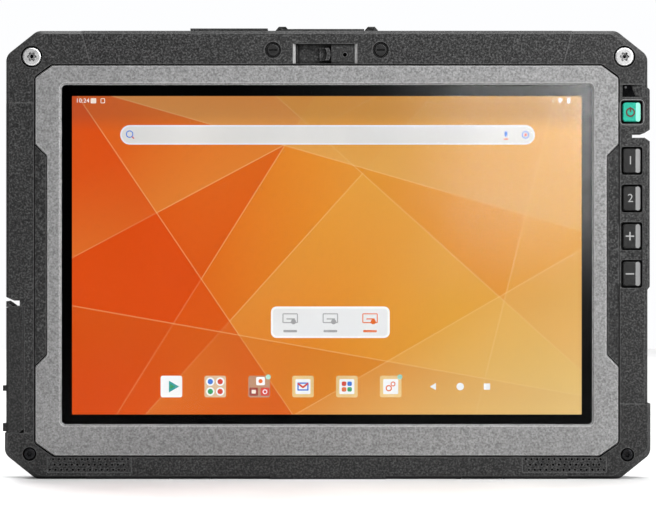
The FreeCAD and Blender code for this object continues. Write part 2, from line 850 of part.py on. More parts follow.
def heat_spreader():
    """Copper plate that lies on two of the cans."""
    start = board_back + can_height
    return block(-22.0, 52.0, can_low + 1, can_high - 1, start, start + 0.8)


card_left = card_door_left + 5.4
card_right = card_door_left + card_door_length - 5.4
card_low = board_low + 13.5
card_top = height + card_door_rise - door_thickness - 6.2


def card_slots():
    """Two card slots, one above the other, soldered to the back of the main board."""
    start = board_back
    body = block(card_left, card_right, card_low, card_top, start, bay_rear - 0.5)
    middle = (start + bay_rear - 0.5) / 2
    slots = [block(card_left + 2, card_right - 2, card_low + 4, card_top + 1, depth - 0.45, depth + 0.45)
             for depth in (middle - 0.85, middle + 0.85)]
    return body.cut(Part.makeCompound(slots))


# Battery bay in the rear
bay_left = -battery_width / 2 - battery_gap
bay_right = battery_width / 2 + battery_gap
bay_low = battery_low - battery_gap
bay_high = battery_low + battery_height + battery_gap
battery_back = rear_face - 0.1
battery_front = battery_back - battery_depth
bay_floor = battery_front - 0.1
latch_x = battery_width / 2 - 30.0
latch_low = battery_low - 9.0
latch_high = battery_low + 1.6
latch_front = battery_back - 3.2


def battery_bay():
    """Solid box that carries the bay, and the pocket cut in it."""
    box = block(bay_left - battery_wall, bay_right + battery_wall, bay_low - battery_wall,
                bay_high + battery_wall, bay_floor - 0.8, cavity_back + 0.5)
    pocket = soft_block(bay_left, bay_right, bay_low, bay_high, bay_floor, rear_face + 1, 3.0)
    return box, pocket


def battery_pack():
    """Battery with grip ribs, two catch notches at its lower edge, and contact pads at its top."""
    pack = soft_block(-battery_width / 2, battery_width / 2, battery_low, battery_low + battery_height,
                      battery_front, battery_back, 2.6)
    pack = bevelled(pack, battery_back, 0.6)
    panel = soft_block(-battery_width / 2 + 12, battery_width / 2 - 12, battery_low + 16,
                       battery_low + battery_height - 12, battery_back - 0.5, battery_back + 1, 4.0)
    pack = pack.cut(panel)
    ribs = [soft_block(-26.0, 26.0, battery_low + 5.0 + 3.2 * n, battery_low + 6.6 + 3.2 * n,
                       battery_back - 0.5, battery_back + 1, 0.7) for n in range(3)]
    pack = pack.cut(Part.makeCompound(ribs))
    for side in (-1, 1):
        x = side * latch_x
        pack = pack.cut(block(x - latch_width / 2 - 1, x + latch_width / 2 + 1, battery_low - 1,
                              battery_low + latch_catch + 0.3, latch_front - 2.6, battery_back + 1))
    contact = block(-16, 16, battery_low + battery_height - 1.2, battery_low + battery_height + 1,
                    battery_front + 1.2, battery_front + 4.4)
    return pack.cut(contact)


def battery_latch():
    """Sliding latch below the battery; its upper edge catches the pack, and it slides down to let go."""
    plate = soft_block(latch_x - latch_width / 2, latch_x + latch_width / 2, latch_low,
                       battery_low + latch_catch, latch_front, battery_back, 0.4)
    grips = [block(latch_x - 5, latch_x + 5, latch_low + 1.6 + 1.5 * n, latch_low + 2.3 + 1.5 * n,
                   battery_back - 0.4, battery_back + 1) for n in range(3)]
    return plate.cut(Part.makeCompound(grips))


def latch_track():
    return block(latch_x - latch_width / 2 - 0.3, latch_x + latch_width / 2 + 0.3, latch_low - latch_travel - 0.4,
                 bay_low + 0.1, latch_front - 0.2, rear_face + 1)


def latch_box():
    """Walls round the latch track, inside the rear housing."""
    return block(latch_x - latch_width / 2 - 1.8, latch_x + latch_width / 2 + 1.8, latch_low - latch_travel - 2,
                 bay_low, latch_front - 1.6, cavity_back + 0.5)


def battery_contacts():
    """Contact block between the bay and the main board."""
    top = bay_high + battery_wall
    return block(-15, 15, bay_high, top + 1.6, battery_front + 1.4, battery_front + 4.2)


def contact_window():
    top = bay_high + battery_wall
    return block(-15.1, 15.1, bay_high - 0.1, top + 0.1, battery_front + 1.3, battery_front + 4.3)


# Dock connector in the lower edge
dock_half = 21.0
dock_front = front_depth + 0.8
dock_back = front_depth + 6.4
dock_contact_count = 12
dock_block_left = -24.0
dock_block_right = 25.0
locator_x = 26.3 + 4.0
locator_radius = 2.2


def dock_pocket():
    return block(-dock_half - 0.1, dock_half + 0.1, -1, cavity_low + 0.1, dock_front - 0.1, dock_back + 0.1)


def dock_connector():
    """Body with a recessed face that looks downwards, and a groove for the contacts."""
    body = block(-dock_half, dock_half, 1.2, cavity_low, dock_front, dock_back)
    mouth = block(-dock_half + 2, dock_half - 2, 0, 3.2, dock_front + 1.4, dock_back - 1.4)
    return body.cut(mouth)


def dock_contacts():
    pitch = (2 * dock_half - 8) / (dock_contact_count - 1)
    middle = (dock_front + dock_back) / 2
    return [block(-dock_half + 4 + n * pitch - 0.6, -dock_half + 4 + n * pitch + 0.6, 2.0, 3.2,
                  middle - 0.9, middle + 0.9) for n in range(dock_contact_count)]


def dock_locators():
    """Metal cups that guide the pins of a dock."""
    middle = (dock_front + dock_back) / 2
    cups = []
    for side in (-1, 1):
        outer = upright_rod(side * locator_x, middle, locator_radius, 0.3, 6.0)
        cups.append(outer.cut(upright_rod(side * locator_x, middle, locator_radius - 0.8, 0, 5.0)))
    return cups


def locator_holes():
    middle = (dock_front + dock_back) / 2
    return [upright_rod(side * locator_x, middle, locator_radius + thread_gap, -1, 6.0) for side in (-1, 1)]


# Rear: camera, lamp, mounting inserts and housing screws
camera_board_gap = 9.45
rear_camera_x = board_right + camera_board_gap
rear_camera_z = board_high - 10.0
lamp_x = rear_camera_x - 12.0
insert_spots = [(x, z) for x in (-insert_spacing_x / 2, insert_spacing_x / 2)
                for z in (middle_z - insert_spacing_z / 2, middle_z + insert_spacing_z / 2)]
rear_screw_x = opening_x - 3.2
rear_screw_spots = [(x, z) for x in (-rear_screw_x, rear_screw_x) for z in (middle_z - 8, middle_z + 34)]
rear_screw_spots += [(x, 5.4) for x in (-60.0, 60.0)] + [(x, height - 6.5) for x in (-75.0, 75.0)]
rear_screw_radius = 2.3
rear_shank_radius = 1.3
rear_shank_front = frame_back + 0.4


def rear_camera():
    body = block(rear_camera_x - 4.5, rear_camera_x + 4.5, rear_camera_z - 4.5, rear_camera_z + 4.5,
                 cavity_back - 5, cavity_back)
    barrel = peg(rear_camera_x, rear_camera_z, 3.2, cavity_back - 0.1, rear_face - 1.2)
    return body.fuse(barrel).cut(peg(rear_camera_x, rear_camera_z, 1.5, rear_face - 2.0, rear_face))


def rear_camera_window():
    return peg(rear_camera_x, rear_camera_z, 4.6, rear_face - 1.0, rear_face - 0.2)


def flash_lamp():
    lens = peg(lamp_x, rear_camera_z, 2.0, cavity_back, rear_face - 0.2)
    return lens.fuse(block(lamp_x - 2.5, lamp_x + 2.5, rear_camera_z - 2.5, rear_camera_z + 2.5,
                           cavity_back - 1, cavity_back))


def camera_holes():
    return [peg(rear_camera_x, rear_camera_z, 3.2 + pin_gap, cavity_back - 1, rear_face + 1),
            peg(rear_camera_x, rear_camera_z, 4.6 + pin_gap, rear_face - 1.0, rear_face + 1),
            peg(lamp_x, rear_camera_z, 2.0 + pin_gap, cavity_back - 1, rear_face + 1)]


def strap_inserts():
    """Brass threaded inserts for a hand strap or a mounting plate."""
    return [peg(x, z, insert_radius, rear_face - insert_depth, rear_face).cut(
        peg(x, z, insert_bore, 0, far)) for x, z in insert_spots]


def insert_bosses():
    return [peg(x, z, insert_radius + 1.4, rear_face - insert_depth - 1.0, cavity_back + 0.1)
            for x, z in insert_spots]


def insert_holes():
    return [peg(x, z, insert_radius + thread_gap, rear_face - insert_depth, rear_face + 1) for x, z in insert_spots]


def rear_screws():
    screws = []
    for x, z in rear_screw_spots:
        head = peg(x, z, rear_screw_radius, rear_face - 1.8, rear_face - 0.3)
        shank = peg(x, z, rear_shank_radius, rear_shank_front, rear_face - 1.8)
        screws.append(head.fuse(shank).cut(lobed_recess(x, z, 1.3, rear_face - 1.3, rear_face)))
    return screws


def rear_screw_holes():
    cuts = [peg(x, z, rear_screw_radius + 0.3, rear_face - 1.8, rear_face + 1) for x, z in rear_screw_spots]
    return cuts + [peg(x, z, rear_shank_radius + thread_gap, rear_shank_front - 0.3, rear_face)
                   for x, z in rear_screw_spots]


def antennas():
    """Two strips on the upper wall of the cavity."""
    return [block(left, left + 34.0, cavity_high - 1.0, cavity_high, cavity_back - 4.5, cavity_back - 0.5)
            for left in (board_left + 4, board_right - 44)]


# Display stack

def bezel_outline():
    """Outer edge: wide ears above and below a narrower waist."""
    step_high = middle_z + 42.2
    step_low = middle_z - 42.8
    half = [(ear_x - bezel_low_cut[0], bezel_low), (ear_x, bezel_low + bezel_low_cut[1]),
            (ear_x, step_low - 5.1), (waist_x, step_low), (waist_x, step_high), (ear_x, step_high + 4.9),
            (ear_x, bezel_high - bezel_high_cut[1]), (ear_x - bezel_high_cut[0], bezel_high)]
    return half + [(-x, z) for x, z in reversed(half)]


def glass_blank(grow, start, end):
    half = glass_width / 2 + grow
    return soft_block(-half, half, glass_low - grow, glass_high + grow, start, end, 1.7 + grow)


def front_bezel():
    """Metal-look frame round the glass, bevelled at its outer and inner edges."""
    plate = rounded(slab(bezel_outline(), bezel_recess, bezel_back), 1.6)
    plate = bevelled(plate, bezel_recess, 0.5)
    plate = plate.cut(glass_blank(slide_gap, -1, thickness))
    inner = [e for e in rim_edges(plate, bezel_recess) if e.BoundBox.XMax < glass_width / 2 + 0.5
             and e.BoundBox.XMin > -glass_width / 2 - 0.5]
    return plate.makeChamfer(0.9, inner)


def cover_glass():
    return bevelled(glass_blank(0, glass_recess, glass_back), glass_recess, 0.2)


def black_border():
    """Ink on the back of the glass, round the live area."""
    live = block(-screen_width / 2, screen_width / 2, screen_low, screen_low + screen_height, -1, thickness)
    return glass_blank(-0.3, glass_back, ink_back).cut(live)


lcd_grow_x = 2.3
lcd_grow_z = 2.3


def lcd_blank(grow, start, end):
    half = screen_width / 2 + lcd_grow_x + grow
    return block(-half, half, screen_low - lcd_grow_z - grow, screen_low + screen_height + lcd_grow_z + grow,
                 start, end)


def lcd_panel():
    return lcd_blank(0, ink_back, lcd_back - 1.0)


def backlight():
    return lcd_blank(0, lcd_back - 1.0, lcd_back)


def display_gasket():
    """Foam ring between the glass and the frame, round the panel."""
    return lcd_blank(1.4, ink_back, ink_back + 0.8).cut(lcd_blank(0.1, 0, thickness))


def display_frame():
    """Cast tray that carries the panel; it stands up beside the waist of the bezel."""
    outline = cut_corners(-ear_x, ear_x, bezel_low, bezel_high, bezel_low_cut, bezel_high_cut)
    tray = slab(outline, bezel_back, frame_back)
    step_high = middle_z + 42.2
    step_low = middle_z - 42.8
    for side in (-1, 1):
        inner = side * (waist_x + 0.3)
        outer = side * (ear_x + 0.1)
        tray = tray.fuse(slab([(inner, step_low + 0.4), (inner, step_high - 0.4), (outer, step_high + 4.2),
                               (outer, step_low - 4.4)], 0.5, bezel_back))
    tray = tray.removeSplitter().cut(glass_blank(0.05, 0, glass_back))
    tray = tray.cut(lcd_blank(1.4, glass_back - 0.1, ink_back + 0.8)).cut(lcd_blank(0.1, ink_back, lcd_back))
    tray = tray.cut(glass_blank(-0.25, glass_back - 0.1, ink_back))
    windows = [block(x - 13, x + 13, z - 13, z + 13, lcd_back, frame_back + 1)
               for x in (-70.0, 0.0, 70.0) for z in (middle_z - 32, middle_z + 10)]
    return tray.cut(Part.makeCompound(windows))


# Housings

def rear_grooves():
    """Shallow grooves either side of the battery."""
    cuts = []
    for side in (-1, 1):
        for n in range(6):
            z = middle_z - 27 + 9.0 * n
            left = side * (bay_right + 14) - (10.0 if side > 0 else 14.0)
            cuts.append(soft_block(left, left + 24.0, z, z + 2.2, rear_face - 0.6, rear_face + 1, 1.0))
    return cuts


def top_ribs():
    """Raised block over the camera, with a rib at each end."""
    cap = block(-19.4, 15.9, height - 2, height + 0.8, 2.0, rear_face - 1.6)
    ribs = [slab([(side * 23.0, height - 1), (side * 20.5, height + 2.0), (side * 17.5, height + 2.0),
                  (side * 15.0, height - 1)], 4.5, 13.5) for side in (-1, 1)]
    return [cap] + ribs


def right_island():
    """Raised strip along the right rail, beside the keys."""
    low = key_centres["key_minus"] - 8.6
    high = height - 24.4
    outline = [(side_x - 4, low), (side_x - 1.6, low), (side_x + 1.0, low + 3.2), (side_x + 1.0, high - 0.8),
               (side_x + 0.2, high), (side_x - 4, high)]
    strip = slab(outline, 0.4, rear_face - 0.4)
    edge = [e for e in strip.Edges if abs(e.BoundBox.XMin - side_x - 1.0) < 0.001 and e.BoundBox.ZLength > 20]
    return strip.makeChamfer(1.0, edge)


def dock_block():
    return block(dock_block_left, dock_block_right, 0, 3.0, 0, rear_face - 1.4)


def housing_blank():
    """Both housings as one block, before it is split and hollowed."""
    blank = body_blank(side_x, rear_face, edge_bevel)
    card_rail = block(card_door_left - 0.8, card_door_left + card_door_length + 0.8, height - 3,
                      height + card_door_rise, door_hinge_depth - 2.3, rear_face)
    blank = joined([blank, *top_ribs(), right_island(), dock_block(), card_rail])
    blank = blank.cut(Part.makeCompound(list(regions.values())))
    for left, right in ((-67.3, -49.7), (57.1, 74.8)):
        blank = blank.cut(block(left, right, -1, 0.7, -1, thickness))
    for name, (side, end, seam_edge, _, _, _) in bumpers.items():
        z = height if end > 0 else 0.0
        x = side * (seam_edge + seam_from_corner)
        blank = blank.cut(slab([(x - seam_notch, z + end * 0.6), (x + seam_notch, z + end * 0.6),
                                (x, z - end * 1.6)], -1, thickness + 1))
    cuts = [tether_slot(), tether_eye(), on_left(door_recess(port_door_length, 0)),
            on_top(door_recess(card_door_length, card_door_front)), *screw_pockets(), *rear_screw_holes()]
    cuts.append(block(-side_x - 3, -side_x + port_door_lip + 0.7, port_door_low - door_gap,
                      port_door_low + port_door_length + door_gap, -1, 2.4))
    for shape in cuts:
        blank = blank.cut(shape)
    return blank


whole_housing = housing_blank()


def front_housing():
    """Front half: ring round the display, with a ledge that the display frame rests on."""
    ring = whole_housing.common(block(-far, far, -far, far, -1, front_depth))
    pocket, ramp = camera_slot()
    cuts = [opening_blank(-1, frame_back), cavity_blank(0, front_depth + 1), pocket, ramp, front_camera_bay(),
            *plug_pockets(), sensor_recess(), grille_pocket(0), mirrored(grille_pocket(0)),
            key_well(power_z, power_key_width, power_key_height), power_collar(), *rocker_well(), key_bay()]
    cuts += [key_well(key_centres[name], key_width, key_height) for name in ("key_one", "key_two")]
    for shape in cuts:
        ring = ring.cut(shape)
    return ring.removeSplitter()


def rear_housing():
    """Back half: a tray with the battery bay, the sockets' bay, the card bay and the board's standoffs."""
    tray = whole_housing.common(block(-far, far, -far, far, front_depth, far))
    tray = tray.cut(cavity_blank(front_depth - 1, cavity_back))
    bay, pocket = battery_bay()
    legs = [peg(x, z, 2.6, board_back, cavity_back + 0.1) for x, z in standoffs]
    io_legs = [peg(-cavity_x + 6, port_door_low + 55, 2.4, io_board_back, cavity_back + 0.1),
               peg(io_board_right - 5, port_door_low + 10, 2.4, io_board_back, cavity_back + 0.1)]
    tray = joined([tray, bay, latch_box(), mirrored(latch_box()), *insert_bosses(), *legs, *io_legs])
    cuts = [pocket, latch_track(), mirrored(latch_track()), *port_bay(), card_bay(), contact_window(),
            dock_pocket(), *locator_holes(), *camera_holes(), *insert_holes(), *rear_grooves(),
            *[peg(x, z, 1.25, board_back - 0.1, cavity_back) for x, z in standoffs]]
    for shape in cuts:
        tray = tray.cut(shape)
    return tray.removeSplitter()


def bumper(name):
    """Soft corner cap that wraps the housing's core, front, side and back."""
    side, end, seam_edge, _, _, proud = bumpers[name]
    cap = bumper_blank(side_x + proud).common(regions[name])
    for shape in screw_pockets() + [grille_pocket(0), mirrored(grille_pocket(0)), *rear_screw_holes()]:
        cap = cap.cut(shape)
    return cap


# Everything, by node name
pieces = {
    "front_housing": front_housing(),
    "rear_housing": rear_housing(),
    **{name: bumper(name) for name in bumpers},
    "bumper_screws_top": bumper_screws_top(),
    "bumper_screws_bottom": bumper_screws_bottom(),
    "screw_plugs": screw_plugs(),
    "front_bezel": front_bezel(),
    "cover_glass": cover_glass(),
    "black_border": black_border(),
    "lcd_panel": lcd_panel(),
    "backlight": backlight(),
    "display_gasket": display_gasket(),
    "display_frame": display_frame(),
    "camera_cover": camera_cover(),
    "camera_shutter": camera_shutter(),
    "front_camera": front_camera(),
    "sensor_window": sensor_window(),
    "light_pipe": light_pipe(),
    "power_key": power_key(),
    **{name: key(z, key_width, key_height) for name, z in key_centres.items()},
    "keypad_seal": keypad_seal(),
    "button_board": button_board(),
    "grille_left": grille_plate(),
    "grille_right": mirrored(grille_plate()),
    "speaker_mesh": [speaker_mesh(), mirrored(speaker_mesh())],
    "speaker_left": speaker(),
    "speaker_right": mirrored(speaker()),
    "port_door": port_door(),
    "port_door_seal": on_left(door_seal(port_door_length)),
    "card_door": card_door(),
    "card_door_seal": on_top(door_seal(card_door_length)),
    "door_pins": [on_left(door_pin(port_door_length)), on_top(door_pin(card_door_length))],
    "audio_jack": audio_jack(),
    "dc_jack": dc_jack(),
    "usb_a_port": usb_a_port(),
    "usb_c_port": usb_c_port(),
    "io_board": io_board(),
    "mainboard": mainboard(),
    "shield_cans": shield_cans(),
    "heat_spreader": heat_spreader(),
    "card_slots": card_slots(),
    "battery_pack": battery_pack(),
    "battery_latch_left": mirrored(battery_latch()),
    "battery_latch_right": battery_latch(),
    "battery_contacts": battery_contacts(),
    "dock_connector": dock_connector(),
    "dock_contacts": dock_contacts(),
    "dock_locators": dock_locators(),
    "rear_camera": rear_camera(),
    "rear_camera_window": rear_camera_window(),
    "flash_lamp": flash_lamp(),
    "strap_inserts": strap_inserts(),
    "rear_screws": rear_screws(),
    "antennas": antennas(),
}

os.makedirs("parts", exist_ok=True)
for node, shape in pieces.items():
    solid = Part.makeCompound(shape) if isinstance(shape, list) else shape
    solid.exportStep(f"parts/{node}.step")
    print(node, len(solid.Solids), round(solid.Volume / 1000, 2), "cm3")
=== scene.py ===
# %% [markdown]
# # A rugged field tablet, finished in Blender
# The construction comes from the CAD frame: housings, bumpers, bezel, keys, doors and battery are already at
# their real size. This lesson gives each of them its finish, adds the lit symbols behind the glass and the
# printed legends on the keys, and sets up a pale studio with a camera straight in front of the screen.

# %% Load the frame
import math

import bpy
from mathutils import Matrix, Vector


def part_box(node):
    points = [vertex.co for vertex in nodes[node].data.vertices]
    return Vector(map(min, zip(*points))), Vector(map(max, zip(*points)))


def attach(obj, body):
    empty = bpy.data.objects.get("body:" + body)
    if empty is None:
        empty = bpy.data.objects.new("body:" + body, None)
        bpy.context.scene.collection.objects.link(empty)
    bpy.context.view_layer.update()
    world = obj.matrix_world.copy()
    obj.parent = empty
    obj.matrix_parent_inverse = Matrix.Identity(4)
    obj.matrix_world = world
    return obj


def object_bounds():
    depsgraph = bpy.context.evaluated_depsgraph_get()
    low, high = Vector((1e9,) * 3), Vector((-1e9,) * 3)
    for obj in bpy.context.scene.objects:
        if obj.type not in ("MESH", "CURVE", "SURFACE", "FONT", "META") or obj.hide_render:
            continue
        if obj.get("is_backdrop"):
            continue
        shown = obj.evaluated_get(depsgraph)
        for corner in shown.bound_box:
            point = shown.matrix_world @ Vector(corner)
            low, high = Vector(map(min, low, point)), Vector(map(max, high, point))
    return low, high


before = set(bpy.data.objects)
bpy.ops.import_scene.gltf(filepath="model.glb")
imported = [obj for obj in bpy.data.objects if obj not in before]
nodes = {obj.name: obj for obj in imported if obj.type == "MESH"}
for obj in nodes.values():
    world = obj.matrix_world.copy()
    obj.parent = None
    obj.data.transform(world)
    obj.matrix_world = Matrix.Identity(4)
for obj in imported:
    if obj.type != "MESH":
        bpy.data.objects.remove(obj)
cad_low, cad_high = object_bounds()
print("CAD box in mm", [round(1000 * (b - a), 1) for a, b in zip(cad_low, cad_high)])

# %% [markdown]
# ## Measures that every later step uses
# The lit area is the panel less a small margin all round, and the panel's own box gives where it lies.
# Depths are counted from the front of the tablet, which faces -Y.

# %% Measures
MM = 0.001
panel_margin = 2.3 * MM
panel_low, panel_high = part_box("lcd_panel")
screen_left = panel_low.x + panel_margin
screen_right = panel_high.x - panel_margin
screen_bottom = panel_low.z + panel_margin
screen_top = panel_high.z - panel_margin
front_y = cad_low.y
print("lit area in mm", round((screen_right - screen_left) / MM, 1), round((screen_top - screen_bottom) / MM, 1))

# %% [markdown]
# ## Ways of making a piece
# Most of the pieces added here are thin flat shapes that face the front: symbols, legends and light bars. Each
# one is a flat primitive stood upright at its place, shaped in edit mode, and extruded back to its thickness.
# An operator acts on everything that is selected, so each piece starts with nothing selected.

# %% Piece helpers
upright = math.pi / 2


def select_only(obj):
    """Deselects everything, the CAD nodes too, and makes one object active."""
    bpy.ops.object.select_all(action="DESELECT")
    obj.select_set(True)
    bpy.context.view_layer.objects.active = obj


def settle(obj):
    """Moves an object's place and turn into its mesh."""
    select_only(obj)
    bpy.ops.object.transform_apply(location=True, rotation=True, scale=True)
    return obj


def thicken(obj, thick):
    """Extrudes a flat outline back by a thickness, and closes it."""
    select_only(obj)
    bpy.ops.object.mode_set(mode="EDIT")
    bpy.ops.mesh.select_all(action="SELECT")
    bpy.ops.mesh.extrude_region_move(TRANSFORM_OT_translate={"value": (0, thick * MM, 0)})
    bpy.ops.mesh.select_all(action="SELECT")
    bpy.ops.mesh.normals_make_consistent(inside=False)
    bpy.ops.object.mode_set(mode="OBJECT")
    return obj


def hand_over(obj, name, body, made):
    """Names a finished piece and gives it its body and its finish."""
    obj.name = name
    obj.data.name = name
    obj.data.materials.clear()
    obj.data.materials.append(made)
    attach(obj, body)
    return obj


def plate(x, z, wide, tall, corner, depth, thick, turn=0.0):
    """Rounded rectangle centred on x, z, whose front is at a depth. All in mm, the turn in degrees."""
    bpy.ops.object.select_all(action="DESELECT")
    bpy.ops.mesh.primitive_plane_add(size=1, location=(x * MM, front_y + depth * MM, z * MM),
                                     rotation=(upright, math.radians(turn), 0))
    obj = bpy.context.object
    obj.scale = (wide * MM, tall * MM, 1)
    settle(obj)
    if corner:
        bpy.ops.object.mode_set(mode="EDIT")
        bpy.ops.mesh.select_all(action="SELECT")
        bpy.ops.mesh.bevel(offset=corner * MM, segments=6, affect="VERTICES")
        bpy.ops.object.mode_set(mode="OBJECT")
    return thicken(obj, thick)


def disc(x, z, radius, depth, thick, sides=32, turn=0.0):
    """Flat disc, or a triangle when it has three sides."""
    bpy.ops.object.select_all(action="DESELECT")
    bpy.ops.mesh.primitive_circle_add(vertices=sides, radius=radius * MM, fill_type="NGON",
                                      location=(x * MM, front_y + depth * MM, z * MM),
                                      rotation=(upright, math.radians(turn), 0))
    return thicken(settle(bpy.context.object), thick)


def hollow(obj, wall):
    """Turns a flat outline into a ring: an inset of the front and back faces, bridged through."""
    select_only(obj)
    mesh = obj.data
    bpy.ops.object.mode_set(mode="EDIT")
    bpy.ops.mesh.select_mode(type="FACE")
    bpy.ops.mesh.select_all(action="DESELECT")
    bpy.ops.object.mode_set(mode="OBJECT")
    for face in mesh.polygons:
        face.select = abs(face.normal.y) > 0.9
    bpy.ops.object.mode_set(mode="EDIT")
    bpy.ops.mesh.inset(thickness=wall * MM)
    bpy.ops.mesh.bridge_edge_loops()
    bpy.ops.mesh.select_all(action="SELECT")
    bpy.ops.mesh.normals_make_consistent(inside=False)
    bpy.ops.object.mode_set(mode="OBJECT")
    return obj


def digits(text, x, z, height, depth, thick):
    """Numbers as a mesh, centred on x, z."""
    cap_share = 0.72
    bpy.ops.object.select_all(action="DESELECT")
    bpy.ops.object.text_add(location=(0, 0, 0))
    obj = bpy.context.object
    obj.data.body = text
    obj.data.size = height / cap_share * MM
    obj.data.align_x = "CENTER"
    obj.data.align_y = "CENTER"
    obj.data.resolution_u = 3
    obj.data.extrude = thick / 2 * MM
    bpy.ops.object.convert(target="MESH")
    obj.location = (x * MM, front_y + (depth + thick / 2) * MM, z * MM)
    obj.rotation_euler = (upright, 0, 0)
    settle(obj)
    bpy.ops.object.mode_set(mode="EDIT")
    bpy.ops.mesh.select_all(action="SELECT")
    bpy.ops.mesh.remove_doubles(threshold=0.001 * MM)
    bpy.ops.mesh.normals_make_consistent(inside=False)
    bpy.ops.object.mode_set(mode="OBJECT")
    return obj


# %% [markdown]
# ## Colour and node helpers
# Colours are written as the sRGB hex that the eye reads, and one function turns them into the linear values
# that shaders work in. One function adds a node with its settings and its inputs.

# %% Node helpers
def linear(hex_colour, alpha=1.0):
    channels = [int(hex_colour[i:i + 2], 16) / 255 for i in (1, 3, 5)]
    return (*[c / 12.92 if c <= 0.04045 else ((c + 0.055) / 1.055) ** 2.4 for c in channels], alpha)


def add_node(tree, kind, settings=None, inputs=None):
    """Adds a node. An input's value is a plain value, or the socket that it is linked from."""
    node = tree.nodes.new(kind)
    for key, value in (settings or {}).items():
        setattr(node, key, value)
    for key, value in (inputs or {}).items():
        if isinstance(value, bpy.types.NodeSocket):
            tree.links.new(value, node.inputs[key])
        else:
            node.inputs[key].default_value = value
    return node


def start_material(name, **constants):
    """A material with its shader's constant sockets set. Underscores in names stand for spaces."""
    made = bpy.data.materials.new(name)
    made.use_nodes = True
    shader = made.node_tree.nodes["Principled BSDF"]
    for key, value in constants.items():
        shader.inputs[key.replace("_", " ")].default_value = value
    return made, made.node_tree, shader


def ramp(tree, factor, stops):
    """Colour ramp from (place, hex) stops."""
    node = add_node(tree, "ShaderNodeValToRGB", inputs={"Fac": factor})
    while len(node.color_ramp.elements) < len(stops):
        node.color_ramp.elements.new(0.5)
    for element, (place, colour) in zip(node.color_ramp.elements, stops):
        element.position = place
        element.color = linear(colour)
    return node.outputs["Color"]


def grain(tree, size_mm, detail=2.0, roughness=0.5):
    """Noise whose blotches are about size_mm across."""
    place = add_node(tree, "ShaderNodeTexCoord").outputs["Object"]
    return add_node(tree, "ShaderNodeTexNoise", inputs={
        "Vector": place, "Scale": 1.0 / (size_mm * MM), "Detail": detail, "Roughness": roughness}).outputs["Fac"]


def spread(tree, factor, low, high, start=0.3, end=0.7):
    """Maps a stretch of a value, by default the middle of a noise, onto the range low to high."""
    return add_node(tree, "ShaderNodeMapRange", inputs={
        "Value": factor, "From Min": start, "From Max": end, "To Min": low, "To Max": high}).outputs["Result"]


def blend(tree, kind, factor, under, over):
    """Mixes two colours."""
    return add_node(tree, "ShaderNodeMix", {"data_type": "RGBA", "blend_type": kind},
                    {"Factor": factor, 6: under, 7: over}).outputs[2]


def bump(tree, shader, height, depth_mm, strength=1.0):
    made = add_node(tree, "ShaderNodeBump", inputs={"Height": height, "Strength": strength,
                                                    "Distance": depth_mm * MM})
    tree.links.new(made.outputs["Normal"], shader.inputs["Normal"])


def edge_highlight_mask(tree, radius_mm):
    """Painted highlight mask: 1 along an edge and 0 on a flat, where a rounded normal turns away from the true one.
    """
    rounded = add_node(tree, "ShaderNodeBevel", {"samples": 6}, {"Radius": radius_mm * MM}).outputs["Normal"]
    flat = add_node(tree, "ShaderNodeNewGeometry").outputs["Normal"]
    same = add_node(tree, "ShaderNodeVectorMath", {"operation": "DOT_PRODUCT"}, {0: rounded, 1: flat})
    return spread(tree, same.outputs["Value"], 1.0, 0.0, 0.86, 0.985)


def painted_crevice_shade(tree, reach_mm):
    """Painted shade: dark in grooves and corners, white on open faces."""
    made = add_node(tree, "ShaderNodeAmbientOcclusion", {"samples": 6}, {"Distance": reach_mm * MM})
    return made.outputs["AO"]


def finish_on(node_names, made):
    """Puts a material on CAD nodes."""
    for name in node_names:
        mesh = nodes[name].data
        mesh.materials.clear()
        mesh.materials.append(made)


# %% [markdown]
# ## Studio
# The tablet stands on a pale round table top, and everything past its edge is white, so no horizon crosses the
# picture. The table is a disc with its rim extruded down.

# %% Floor
floor_radius = 1.5
floor_thickness = 0.02


def studio_floor():
    bpy.ops.object.select_all(action="DESELECT")
    bpy.ops.mesh.primitive_circle_add(vertices=96, radius=floor_radius, fill_type="NGON", location=(0, 0, 0))
    obj = settle(bpy.context.object)
    bpy.ops.object.mode_set(mode="EDIT")
    bpy.ops.mesh.select_all(action="SELECT")
    bpy.ops.mesh.extrude_region_move(TRANSFORM_OT_translate={"value": (0, 0, -floor_thickness)})
    bpy.ops.mesh.select_all(action="SELECT")
    bpy.ops.mesh.normals_make_consistent(inside=False)
    bpy.ops.object.mode_set(mode="OBJECT")
    obj.name = "studio_floor"
    return obj


floor = studio_floor()
floor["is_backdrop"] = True
print("table top", 2 * floor_radius, "m across")

# %% [markdown]
# ## Camera
# The screen is seen square on, from far enough away that its sides don't splay. A long lens at about a metre
# does that. The distance follows from how much of the tablet's plane the picture should hold.

# %% Camera
picture_width = 278.9 * MM
sensor_width = 36.0
lens = 135.0
aim = Vector((0.5 * MM, 0, 94.9 * MM))
distance = picture_width * lens / sensor_width
camera_data = bpy.data.cameras.new("camera")
camera_data.lens = lens
camera_data.sensor_width = sensor_width
camera = bpy.data.objects.new("camera", camera_data)
camera.location = (aim.x, front_y - distance, aim.z)
camera.rotation_euler = (upright, 0, 0)
bpy.context.scene.collection.objects.link(camera)
bpy.context.scene.camera = camera
bpy.context.scene.view_settings.view_transform = "Standard"
print("camera distance", round(distance, 3), "m")


# %% [markdown]
# ## Light
# A soft box stands close by at the upper right, so the top right of the tablet is brighter than the lower left
# and bevels that face it catch a line of light. A wide box overhead lights the floor and the top edges, and a
# third behind the tablet lights its back. A narrow bar just above the tablet's front makes its top brighter than
# its foot. Two cards beyond the camera are linked to the cover glass alone, and leave a soft sheen in its top
# right corner, and the other lights leave the glass out, so that it has no haze. The air is white above, and
# dimmer low down and on the left. In front it is dark, as with a black card round the camera, so the rest of the
# glass mirrors nothing.

